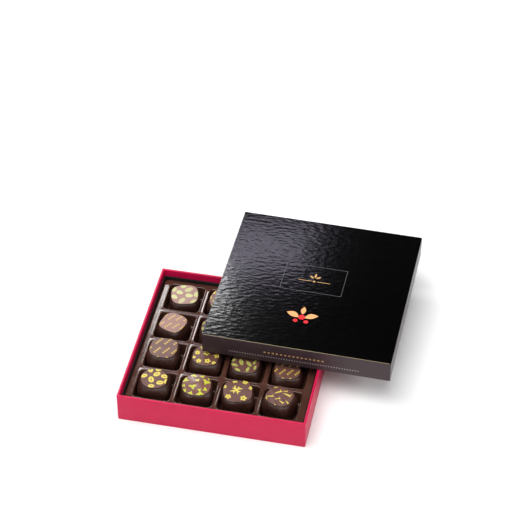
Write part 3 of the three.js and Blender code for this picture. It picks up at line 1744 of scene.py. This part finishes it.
@dataclass
class Praline:
    """One enrobed praline: a squared-off body under a thin flat top with a printed face."""

    row: int
    column: int
    shift: Flat
    turn: float
    lean: float
    size: float
    taller: float
    printed: Print
    even_height: float = 16.8
    belly: float = 11.6
    foot: float = 13.1
    scatter_reach: float = 13.0
    top_size: float = 1.0
    top_squareness: float = 2.5
    # the depth at which the body no longer follows its top
    fade_depth: float = 6.0
    pocket_floor: float = 6.0
    rest_gap: float = 0.3
    grid: int = 72
    # a hazelnut under the film lifts the top here: place, radius and height
    bump: tuple[float, float, float, float] | None = None
    creases: float = 0.0

    # the squareness of the rings under the top in PROFILE
    EVEN_TOP_SQUARENESS = 2.5

    # the print reaches over the top's edge, this many rings down
    PRINTED_RINGS = 2

    # half width, depth below the top, squareness and how far the chocolate's unevenness reaches
    PROFILE = (
        (11.35, 0.0, 2.5, 0.0),
        (11.65, 0.05, 2.5, 0.05),
        (11.86, 0.2, 2.5, 0.1),
        (11.9, 0.45, 2.5, 0.1),
        (11.82, 0.75, 2.5, 0.15),
        (11.45, 0.95, 2.5, 0.2),
        (11.3, 1.15, 2.55, 0.3),
        (11.8, 1.45, 2.75, 0.5),
        (12.4, 1.9, 2.95, 0.7),
        (12.85, 2.5, 3.1, 0.9),
        (13.2, 3.3, 3.25, 1.0),
        (13.5, 4.3, 3.4, 1.0),
        (13.75, 5.4, 3.5, 1.0),
        (13.95, 6.6, 3.6, 1.0),
        (14.05, 7.9, 3.6, 1.0),
        (14.1, 9.3, 3.6, 1.0),
        (14.1, 10.8, 3.6, 1.0),
        (14.05, 12.3, 3.6, 1.0),
        (13.95, 13.6, 3.6, 1.0),
        (13.72, 14.7, 3.6, 1.0),
        (13.45, 15.5, 3.6, 0.9),
        (13.1, 16.2, 3.6, 0.7),
        (12.5, 16.65, 3.6, 0.4),
        (11.4, 16.8, 3.6, 0.0),
    )

    @property
    def height(self) -> float:
        """The praline's own height, from its foot to its top."""
        return self.even_height + self.taller

    @property
    def name(self) -> str:
        """The piece's name, by row and column."""
        return f"praline_r{self.row}_c{self.column}"

    @staticmethod
    def reach(half: float, power: float, angle: float) -> float:
        """Gives a squared-off ring's radius in one direction."""
        c, s = abs(math.cos(angle)), abs(math.sin(angle))
        return half / (c**power + s**power) ** (1 / power)

    @property
    def seed(self) -> Vector:
        """A place in the noise that is this praline's own."""
        return Vector((self.column * 17.3, self.row * 23.9, self.row * 5.1 + self.column * 3.7))

    def wobble(self, angle: float) -> float:
        """Gives the top's uneven outline, as a factor of its radius."""
        at = Vector((math.cos(angle) * 1.3, math.sin(angle) * 1.3, 0.0)) + self.seed
        return 1.0 + 0.022 * noise.noise(at)

    def lumps(self, x: float, y: float, z: float) -> float:
        """Gives how far the coating stands out from the even body, mostly inwards.

        Args:
            x: place along X.
            y: place along Y.
            z: depth below the top.

        Returns:
            The distance.
        """
        slow = noise.noise(Vector((x / 8, y / 8, z / 10)) + self.seed)
        quick = noise.noise(Vector((x / 3, y / 3, z / 5)) - self.seed)
        return 0.42 * slow + 0.24 * quick - 0.2

    def face_height(self, x: float, y: float) -> float:
        """Gives the height of the printed face above its even level.

        Args:
            x: place along X, from the top's middle.
            y: place along Y.

        Returns:
            The height.
        """
        rise = 0.1 * noise.noise(Vector((x / 7, y / 7, 0.0)) + self.seed)
        if self.creases:
            slant = (x * 0.6 + y) / 2.2
            rise += self.creases * noise.noise(Vector((slant, x / 9, 4.0)) + self.seed)
        if self.bump:
            bx, by, radius, high = self.bump
            far = math.hypot(x - bx, y - by) / radius
            rise += high * math.exp(-far * far * 1.6)
        return rise

    def top_grid(self) -> list[Point]:
        """Gives the printed face's points: a square grid drawn out to the top's outline.

        Returns:
            The points, row by row.
        """
        n = self.grid
        half = self.PROFILE[0][0]
        points = []
        for j in range(n + 1):
            for i in range(n + 1):
                u, v = 2 * i / n - 1, 2 * j / n - 1
                far = max(abs(u), abs(v))
                if far < 1e-9:
                    angle = 0.0
                elif abs(u) >= abs(v):
                    angle = math.pi / 4 * v / u + (math.pi if u < 0 else 0.0)
                else:
                    angle = math.pi / 2 - math.pi / 4 * u / v + (math.pi if v < 0 else 0.0)
                edge = self.reach(half, self.top_squareness, angle)
                radius = far * edge * self.wobble(angle) * self.top_size
                x, y = radius * math.cos(angle), radius * math.sin(angle)
                points.append((x, y, self.height + self.face_height(x, y)))
        return points

    def ring(
        self, edge: Sequence[Point], half: float, depth: float, power: float, uneven: float
    ) -> list[Point]:
        """Gives one ring of the body, with a point below each point of the top's edge.

        Args:
            edge: the points of the top's edge.
            half: the ring's half width.
            depth: its depth below the top of a praline of even height.
            power: its squareness.
            uneven: how far the chocolate's unevenness reaches here.

        Returns:
            The ring's points.
        """
        if depth > self.belly:
            depth += self.taller
        fade = max(0.0, 1 - depth / self.fade_depth)
        power += (self.top_squareness - self.EVEN_TOP_SQUARENESS) * fade
        points = []
        for ex, ey, ez in edge:
            angle = math.atan2(ey, ex)
            swell = 1 + (self.wobble(angle) * self.top_size - 1) * fade
            radius = self.reach(half, power, angle) * swell
            x, y = radius * math.cos(angle), radius * math.sin(angle)
            out = uneven * self.lumps(x, y, depth)
            x, y = x + out * math.cos(angle), y + out * math.sin(angle)
            z = self.height - depth + (ez - self.height) * fade
            points.append((x, y, max(z, 0.0)))
        return points

    def shape(self) -> tuple[list[Point], list[list[int]], int]:
        """Makes the praline about its own foot.

        Returns:
            The points, the faces, and how many of the first faces are the printed top.
        """
        n = self.grid
        points = self.top_grid()
        faces = []
        for j in range(n):
            for i in range(n):
                a = j * (n + 1) + i
                faces.append([a, a + 1, a + n + 2, a + n + 1])
        before = self.grid_edge()
        edge = [points[index] for index in before]
        count = len(edge)
        top_faces = 0
        for level, row in enumerate(self.PROFILE[1:], 1):
            ring = [len(points) + i for i in range(count)]
            points.extend(self.ring(edge, *row))
            faces.extend(
                [before[i], ring[i], ring[(i + 1) % count], before[(i + 1) % count]] for i in range(count)
            )
            if level == self.PRINTED_RINGS:
                top_faces = len(faces)
            before = ring
        centre = len(points)
        points.append((0.0, 0.0, 0.0))
        faces.extend([before[i], centre, before[(i + 1) % count]] for i in range(count))
        return points, faces, top_faces

    def grid_edge(self) -> list[int]:
        """Gives the numbers of the top grid's edge points, anticlockwise.

        Returns:
            The point numbers.
        """
        n, wide = self.grid, self.grid + 1
        south = list(range(n))
        east = [n + j * wide for j in range(n)]
        north = [n * wide + n - i for i in range(n)]
        west = [(n - j) * wide for j in range(n)]
        return south + east + north + west

    def layout(self) -> bpy.types.Object:
        """Makes the object that the print tree reads: the marks as points, or the face to scatter on.

        Returns:
            The object, which is dropped after the print.
        """
        if self.printed.scatter is not None:
            disc = ellipse(0.0, 0.0, self.scatter_reach, self.scatter_reach, steps=48)
            return mesh_object("layout", [(x, y, 0.0) for x, y in disc], [list(range(len(disc)))])
        obj = mesh_object("layout", [(m.x, m.y, 0.0) for m in self.printed.marks], [])
        rows = self.printed.marks
        for name, kind, values in (
            ("turn", "FLOAT", [math.radians(m.turn) for m in rows]),
            ("size", "FLOAT", [m.size for m in rows]),
            ("motif", "INT", [m.motif.value for m in rows]),
        ):
            obj.data.attributes.new(name, kind, "POINT").data.foreach_set("value", values)
        return obj

    def place(self, centre: Flat) -> Matrix:
        """Gives the transform into the pocket: sized, turned, leaned and moved.

        Args:
            centre: the pocket's middle.

        Returns:
            The transform.
        """
        lift = self.foot * abs(math.sin(math.radians(self.lean)))
        move = Matrix.Translation(
            Vector(
                (
                    centre[0] + self.shift[0],
                    centre[1] + self.shift[1],
                    self.pocket_floor + self.rest_gap + lift,
                )
            )
            * MM
        )
        lean = Matrix.Rotation(math.radians(self.lean), 4, "X")
        turn = Matrix.Rotation(math.radians(self.turn), 4, "Z")
        return move @ lean @ turn @ Matrix.Diagonal((self.size, self.size, 1.0, 1.0))

    def build(
        self, centre: Flat, press: bpy.types.NodeTree, gap: float, motifs: bpy.types.Collection
    ) -> bpy.types.Object:
        """Builds the praline, prints its top and puts it in its pocket.

        Args:
            centre: the pocket's middle.
            press: the print tree.
            gap: the least distance between scattered motifs.
            motifs: the collection of motifs.

        Returns:
            The piece.
        """
        points, faces, top_faces = self.shape()
        obj = mesh_object(f"{self.name}_enrobed", points, faces)
        flags = [i < top_faces for i in range(len(faces))]
        obj.data.attributes.new("printed", "BOOLEAN", "FACE").data.foreach_set("value", flags)
        layout = self.layout()
        ink = self.printed.ink
        ground = self.printed.ground
        finish = PrintedTop(
            f"printed_top_{ink.name.lower()}_{ground[1:].lower()}",
            ink.value,
            ground,
            roughness=self.printed.roughness,
        )
        scatter = self.printed.scatter
        run_tree(
            obj,
            press,
            {
                "Layout": layout,
                "Motifs": motifs,
                "Scatter": scatter is not None,
                "Scatter Motif": 0 if scatter is None else scatter.value,
                "Scatter Size": self.printed.size,
                "Gap": gap * MM,
                "Seed": self.row * 10 + self.column,
                "Body Material": EnrobedChocolate().build(),
                "Top Material": finish.build(),
            },
        )
        drop(layout)
        obj.data.transform(self.place(centre))
        obj.data.shade_smooth()
        return finish_piece(obj, "chocolate", self.name)


@dataclass
class Assortment:
    """The sixteen pralines in their pockets."""

    # shift along X and Y, turn, lean, size and extra height of each praline, row by row from the far side
    poses: tuple[tuple[tuple[float, ...], ...], ...] = (
        (
            (0.4, 0.5, 13, 0.8, 0.97, 0.0),
            (-0.5, 0.8, -6, 1.2, 1.0, 0.6),
            (0.3, 0.5, 8, 0.6, 0.99, 0.3),
            (-0.4, 0.8, -3, 1.0, 1.01, 0.8),
        ),
        (
            (-1.1, 0.1, -21, 1.4, 0.94, 0.0),
            (0.2, 0.7, 5, 0.9, 1.0, 0.5),
            (-0.3, 0.4, -9, 1.1, 0.98, 1.2),
            (0.5, 0.9, 4, 0.7, 1.0, 0.2),
        ),
        (
            (-1.2, 1.1, 0, -1.0, 1.0, 2.9),
            (-0.1, 1.1, 3, 0.8, 0.98, 1.2),
            (-1.5, 0.9, 0, 1.3, 0.97, 0.3),
            (-1.3, 0.5, 8, 0.9, 0.96, 0.0),
        ),
        (
            (-0.3, 1.1, 4, 1.1, 0.99, 2.7),
            (0.3, 0.8, 9, 0.5, 0.99, 2.7),
            (-0.4, 0.8, 14, 0.9, 0.98, 2.8),
            (-0.9, 0.6, -20, -2.5, 0.95, 3.0),
        ),
    )

    # how much larger or smaller a top is than the even one, and how square
    tops: dict[Seat, Flat] = field(
        default_factory=lambda: {
            (1, 1): (1.03, 2.9),
            (2, 1): (0.97, 3.0),
            (3, 1): (0.99, 2.9),
            (4, 1): (0.94, 2.2),
            (4, 2): (1.03, 2.3),
            (4, 3): (1.03, 2.9),
            (4, 4): (0.99, 2.7),
            (3, 2): (0.96, 2.5),
            (3, 3): (1.02, 2.6),
            (3, 4): (0.95, 2.9),
        }
    )
    lifted: Seat = (4, 2)
    lift: tuple[float, float, float, float] = (2.2, 2.4, 8.5, 1.6)
    creased: Seat = (4, 4)
    crease_depth: float = 0.22

    def pralines(self) -> list[Praline]:
        """Gives the pralines, with the lifted top and the creased one where they lie.

        Returns:
            The pralines, row by row.
        """
        made = []
        for r, row in enumerate(self.poses, 1):
            for c, (dx, dy, turn, lean, size, taller) in enumerate(row, 1):
                praline = Praline(r, c, (dx, dy), turn, lean, size, taller, PRINTS[(r, c)])
                praline.top_size, praline.top_squareness = self.tops.get((r, c), (1.0, 2.5))
                if (r, c) == self.lifted:
                    praline.bump = self.lift
                if (r, c) == self.creased:
                    praline.creases = self.crease_depth
                made.append(praline)
        return made

    def build(self, tray: PocketTray) -> list[bpy.types.Object]:
        """Builds all pralines in the tray's pockets.

        Args:
            tray: the insert that holds them.

        Returns:
            The pieces.
        """
        press = PrintPress()
        tree = press.tree()
        motifs = MotifSet().build()
        made = [
            p.build(tray.centre(p.row - 1, p.column - 1), tree, press.gap, motifs) for p in self.pralines()
        ]
        drop(*motifs.objects)
        bpy.data.collections.remove(motifs)
        return made


@dataclass
class Lid:
    """The lid: a shallow card cap, grained on top and smooth on its sides."""

    inner: float = 160.7
    wall: float = 0.65
    thickness: float = 1.2
    # the top lies a film's thickness lower than the bare lid's, so that the print stays inside it
    height: float = 19.76
    base: float = 28.0
    corner: float = 0.9
    edge_round: float = 0.2
    place: Flat = (60.7, 64.7)
    turn: float = -1.1

    @property
    def side(self) -> float:
        """The lid's outer side."""
        return self.inner + 2 * self.wall

    @property
    def top(self) -> float:
        """The height of the lid's top above the ground."""
        return self.base + self.height

    def matrix(self) -> Matrix:
        """Gives the lid's place: turned and moved onto the rim."""
        move = Matrix.Translation(Vector((*self.place, 0.0)) * MM)
        return move @ Matrix.Rotation(math.radians(self.turn), 4, "Z")

    def profile(self) -> list[Point]:
        """Gives the rings from the ceiling over the rim to the top.

        Returns:
            Half width, height and corner radius of each ring.
        """
        outer, inner = self.side / 2, self.inner / 2
        ceiling = self.top - self.thickness
        low, edge = self.base, self.edge_round
        inside = [(inner - 0.3, ceiling, 0.15), (inner, ceiling - 0.3, 0.45), (inner, low + 0.15, 0.45)]
        rim = [
            (inner + 0.15, low, 0.5),
            (outer - 0.15, low, self.corner - 0.15),
            (outer, low + 0.15, self.corner),
        ]
        return inside + rim + rounded_edge(outer - edge, self.top - edge, edge, 0, 90, self.corner - edge)

    def build(self) -> bpy.types.Object:
        """Builds the lid and puts it in the frame.

        Returns:
            The piece.
        """
        obj = mesh_object("grained_lid", *turned_square(self.profile(), 6, 1))
        face_outwards(obj)
        obj.data.materials.append(GrainedCard().build())
        obj.data.materials.append(SmoothCard().build())
        for face in obj.data.polygons:
            level = face.normal.z > 0.9 and face.center.z > (self.top - 0.5) * MM
            face.material_index = 0 if level else 1
        obj.data.transform(self.matrix())
        return finish_piece(obj, "lid_black", "lid")


@dataclass
class LidPrint:
    """The plain ornaments on the lid: a thin frame, a sprig, a berry motif and side lines, and a painted
    highlight along its front top edge.
    """

    lid: Lid
    film: float = 0.03
    frame_middle: Flat = (-2.2, 6.4)
    frame_size: Flat = (54.3, 33.1)
    line: float = 0.4
    sprig_middle: Flat = (-1.5, 6.0)
    berry_middle: Flat = (-3.0, -42.0)
    dash_height: float = 38.6
    dot_height: float = 33.7

    def stamp(self, name: str, shapes: Sequence[Sequence[Flat]], finish: Finish) -> bpy.types.Object:
        """Makes thin flat shapes on the lid's top.

        Args:
            name: the piece's name.
            shapes: the outlines, on the lid's own axes.
            finish: their finish.

        Returns:
            The piece.
        """
        low, high = self.lid.top + 0.005, self.lid.top + self.film
        points: list[Point] = []
        faces: list[list[int]] = []
        for shape in shapes:
            start, count = len(points), len(shape)
            points.extend((x, y, low) for x, y in shape)
            points.extend((x, y, high) for x, y in shape)
            faces.append([start + i for i in range(count)][::-1])
            faces.append([start + count + i for i in range(count)])
            for i in range(count):
                j = (i + 1) % count
                faces.append([start + i, start + j, start + count + j, start + count + i])
        obj = mesh_object(name, points, faces)
        face_outwards(obj)
        obj.data.materials.append(finish.build())
        obj.data.transform(self.lid.matrix())
        return finish_piece(obj, None)

    @staticmethod
    def bar(x0: float, y0: float, x1: float, y1: float) -> list[Flat]:
        """Gives a rectangle from one corner to the other."""
        return [(x0, y0), (x1, y0), (x1, y1), (x0, y1)]

    def frame_shapes(self) -> list[list[Flat]]:
        """Gives the four sides of the thin frame.

        Returns:
            The outlines.
        """
        (cx, cy), (w, h), t = self.frame_middle, self.frame_size, self.line
        left, right, low, high = cx - w / 2, cx + w / 2, cy - h / 2, cy + h / 2
        return [
            self.bar(left, high - t, right, high),
            self.bar(left, low, right, low + t),
            self.bar(left, low + t + 0.01, left + t, high - t - 0.01),
            self.bar(right - t, low + t + 0.01, right, high - t - 0.01),
        ]

    def sprig_shapes(self) -> list[list[Flat]]:
        """Gives a three-leaved sprig over a rule that a lozenge parts.

        Returns:
            The outlines.
        """
        cx, cy = self.sprig_middle
        leaves = [
            spindle(5.0, 1.9, 35, (cx + 0.9, cy + 1.6)),
            spindle(5.0, 1.9, 145, (cx - 0.9, cy + 1.6)),
            spindle(5.6, 1.9, 90, (cx, cy + 2.2)),
        ]
        rules = [
            self.bar(cx - 14.0, cy - 2.4, cx - 2.4, cy - 1.9),
            self.bar(cx + 2.4, cy - 2.4, cx + 14.0, cy - 1.9),
        ]
        lozenge = [(cx - 1.5, cy - 2.15), (cx, cy - 3.3), (cx + 1.5, cy - 2.15), (cx, cy - 1.0)]
        return leaves + rules + [lozenge]

    def berry_shapes(self) -> tuple[list[list[Flat]], list[list[Flat]]]:
        """Gives the leaves of the berry motif, and its berries.

        Returns:
            The leaves' outlines and the berries' outlines.
        """
        cx, cy = self.berry_middle
        leaves = [
            spindle(12.5, 6.0, 22, (cx + 2.2, cy - 0.5), 0.8),
            spindle(12.5, 6.0, 158, (cx - 2.2, cy - 0.5), -0.8),
            spindle(9.5, 4.4, 90, (cx, cy + 3.4)),
        ]
        berries = [
            ellipse(cx, cy, 3.0, 2.8, steps=28),
            ellipse(cx - 4.6, cy - 4.8, 2.0, 1.9, steps=24),
            ellipse(cx + 4.6, cy - 4.8, 2.0, 1.9, steps=24),
        ]
        return leaves, berries

    def row_tree(self) -> bpy.types.NodeTree:
        """Builds the tree that sets equal marks along a line.

        Returns:
            The tree.
        """
        tree, given = geometry_tree(
            "row_of_marks",
            {
                "Start": "NodeSocketVector",
                "End": "NodeSocketVector",
                "Count": "NodeSocketInt",
                "Size": "NodeSocketVector",
                "Material": "NodeSocketMaterial",
            },
        )
        line = add(
            tree,
            "GeometryNodeMeshLine",
            {"mode": "END_POINTS"},
            {
                "Count": given.outputs["Count"],
                "Start Location": given.outputs["Start"],
                "Offset": given.outputs["End"],
            },
        )
        block = add(tree, "GeometryNodeMeshCube", None, {"Size": given.outputs["Size"]})
        placed = add(
            tree,
            "GeometryNodeInstanceOnPoints",
            None,
            {"Points": line.outputs[0], "Instance": block.outputs[0]},
        )
        real = add(tree, "GeometryNodeRealizeInstances", None, {0: placed.outputs[0]})
        dressed = add(
            tree,
            "GeometryNodeSetMaterial",
            None,
            {"Geometry": real.outputs[0], "Material": given.outputs["Material"]},
        )
        add(tree, "NodeGroupOutput", None, {0: dressed.outputs[0]})
        return tree

    def side_row(
        self,
        name: str,
        tree: bpy.types.NodeTree,
        span: Flat,
        height: float,
        mark: Flat,
        count: int,
        finish: Finish,
    ) -> bpy.types.Object:
        """Makes a row of plain marks on the lid's front side.

        Args:
            name: the piece's name.
            tree: the row tree.
            span: where the row starts and ends, on the lid's own axes.
            height: its height above the ground.
            mark: a mark's width and height.
            count: the number of marks.
            finish: their finish.

        Returns:
            The piece.
        """
        obj = mesh_object(name, [], [])
        y = -self.lid.side / 2 - self.film / 2 + 0.002
        run_tree(
            obj,
            tree,
            {
                "Start": (span[0] * MM, y * MM, height * MM),
                "End": (span[1] * MM, y * MM, height * MM),
                "Count": count,
                "Size": (mark[0] * MM, self.film * MM, mark[1] * MM),
                "Material": finish.build(),
            },
        )
        obj.data.transform(self.lid.matrix())
        return finish_piece(obj, None)

    def build(self) -> list[bpy.types.Object]:
        """Builds all ornaments and puts them in the frame.

        Returns:
            The pieces.
        """
        gold = PrintAndHighlightInk("foil_gold", "#C89B62", 0.42)
        grey = PrintAndHighlightInk("blind_grey_line", "#4C5050", 0.4)
        # painted highlight: a dull warm strip along the lid's top front edge stands in for the light that
        # the edge catches
        edge = PrintAndHighlightInk("dull_gold_edge", "#8A7C5C", 0.45)
        tan = PrintAndHighlightInk("print_tan", "#E3A468", 0.5)
        red = PrintAndHighlightInk("print_red", "#E8141C", 0.5)
        pale = PrintAndHighlightInk("print_pale_grey", "#A39A9C", 0.5)
        leaves, berries = self.berry_shapes()
        half = self.lid.side / 2
        # the painted highlight's strip, just behind the lid's front top edge
        edge_highlight_bar = [self.bar(-half + 1.2, -half + 0.35, half - 1.2, -half + 0.85)]
        tree = self.row_tree()
        return [
            self.stamp("lid_frame_line", self.frame_shapes(), grey),
            self.stamp("lid_sprig", self.sprig_shapes(), gold),
            self.stamp("lid_leaves", leaves, tan),
            self.stamp("lid_berries", berries, red),
            self.stamp("lid_edge_line", edge_highlight_bar, edge),
            self.side_row("lid_side_dashes", tree, (-26.6, 23.2), self.dash_height, (1.7, 1.3), 15, gold),
            self.side_row("lid_side_dots", tree, (-57.0, 53.4), self.dot_height, (1.0, 0.85), 50, pale),
        ]


@dataclass
class SoftLight:
    """A rectangular softbox that looks at a point."""

    name: str
    place: Point
    target: Point
    size: Flat
    power: float
    colour: str = "#FFFFFF"

    def build(self) -> bpy.types.Object:
        """Makes the light.

        Returns:
            The light's object.
        """
        light = bpy.data.lights.new(self.name, "AREA")
        light.shape = "RECTANGLE"
        light.size, light.size_y = self.size[0] * MM, self.size[1] * MM
        light.energy = self.power
        light.color = linear(self.colour)[:3]
        obj = bpy.data.objects.new(self.name, light)
        obj.location = Vector(self.place) * MM
        look = Vector(self.target) - Vector(self.place)
        obj.rotation_euler = look.to_track_quat("-Z", "Y").to_euler()
        bpy.context.scene.collection.objects.link(obj)
        return obj


@dataclass
class Studio:
    """The floor, the lights and the camera, which looks down from the front and a little from the right."""

    azimuth: float = 11.77
    elevation: float = 42.46
    roll: float = -0.10
    target: Point = (-3.1, 137.4, 0.0)
    distance: float = 1730.0
    focal_pixels: float = 1886.0
    image_side: float = 520.0
    sensor: float = 36.0
    floor_side: float = 12000.0
    world_light: float = 0.03

    def lights(self) -> list[SoftLight]:
        """Gives the softboxes.

        Returns:
            The softboxes, not yet built.
        """
        middle = (30.0, 20.0, 10.0)
        return [
            # broad and high, so that the shadow is short and soft and falls to the right
            SoftLight("overhead_softbox", (-190.0, -240.0, 1500.0), middle, (2000.0, 1100.0), 32.0),
            # its reflection lights the insert's left flange, the tops and the lid's left edge
            SoftLight(
                "rear_left_softbox", (-446.0, 650.0, 545.0), (-446.0, 649.0, 0.0), (450.0, 225.0), 4.3
            ),
            # its reflection lights the lid's far left corner
            SoftLight(
                "rear_softbox", (-160.0, 800.0, 545.0), (-160.0, 799.0, 0.0), (270.0, 260.0), 0.8, "#EEE6FF"
            ),
            # lights the faces that look to the right
            SoftLight("right_softbox", (1350.0, -250.0, 800.0), middle, (1200.0, 900.0), 10.5),
            SoftLight("front_fill", (-500.0, -1500.0, 700.0), middle, (1400.0, 900.0), 8.0),
            # a low bright band behind, which draws the thin light lines on lips and on the lid's grain
            SoftLight("low_backdrop", (0.0, 1700.0, 330.0), (0.0, 0.0, 330.0), (3200.0, 640.0), 4.5),
        ]

    def camera(self) -> bpy.types.Object:
        """Makes the camera at the photograph's viewing angle.

        Returns:
            The camera's object.
        """
        az, el, roll = (math.radians(a) for a in (self.azimuth, self.elevation, self.roll))
        back = Vector((math.sin(az) * math.cos(el), -math.cos(az) * math.cos(el), math.sin(el)))
        right = Vector((math.cos(az), math.sin(az), 0.0))
        up = back.cross(right)
        c, s = math.cos(roll), math.sin(roll)
        right, up = c * right + s * up, -s * right + c * up
        eye = (Vector(self.target) + back * self.distance) * MM
        data = bpy.data.cameras.new("camera")
        data.sensor_width = self.sensor
        data.lens = self.sensor * self.focal_pixels / self.image_side
        data.clip_start, data.clip_end = 0.05, 50.0
        obj = bpy.data.objects.new("camera", data)
        turn = Matrix((right, up, back)).transposed().to_4x4()
        obj.matrix_world = Matrix.Translation(eye) @ turn
        bpy.context.scene.collection.objects.link(obj)
        bpy.context.scene.camera = obj
        return obj

    def floor(self) -> bpy.types.Object:
        """Makes the floor.

        Returns:
            The floor's object.
        """
        half = self.floor_side / 2
        corners = [(-half, -half, 0.0), (half, -half, 0.0), (half, half, 0.0), (-half, half, 0.0)]
        obj = mesh_object("studio_floor", corners, [[0, 1, 2, 3]])
        obj.data.materials.append(PaleFloor().build())
        return obj

    def build(self) -> None:
        """Builds the studio."""
        scene = bpy.context.scene
        scene.view_settings.view_transform = "Standard"
        world = bpy.data.worlds.new("studio_air")
        world.use_nodes = True
        sky = world.node_tree.nodes["Background"]
        sky.inputs["Color"].default_value = (1.0, 1.0, 1.0, 1.0)
        sky.inputs["Strength"].default_value = self.world_light
        scene.world = world
        self.floor()
        for light in self.lights():
            light.build()
        self.camera()


def main() -> None:
    """Builds the studio and every piece of the box, in order."""
    logging.basicConfig(level=logging.INFO, format="%(name)s: %(message)s")
    Studio().build()
    WrappedBox().build()
    CardLiner().build()
    tray = PocketTray()
    tray.build()
    pralines = Assortment().build(tray)
    log.info("%d pralines in %d pockets", len(pralines), tray.count**2)
    lid = Lid()
    lid.build()
    LidPrint(lid).build()


if __name__ == "__main__":
    main()
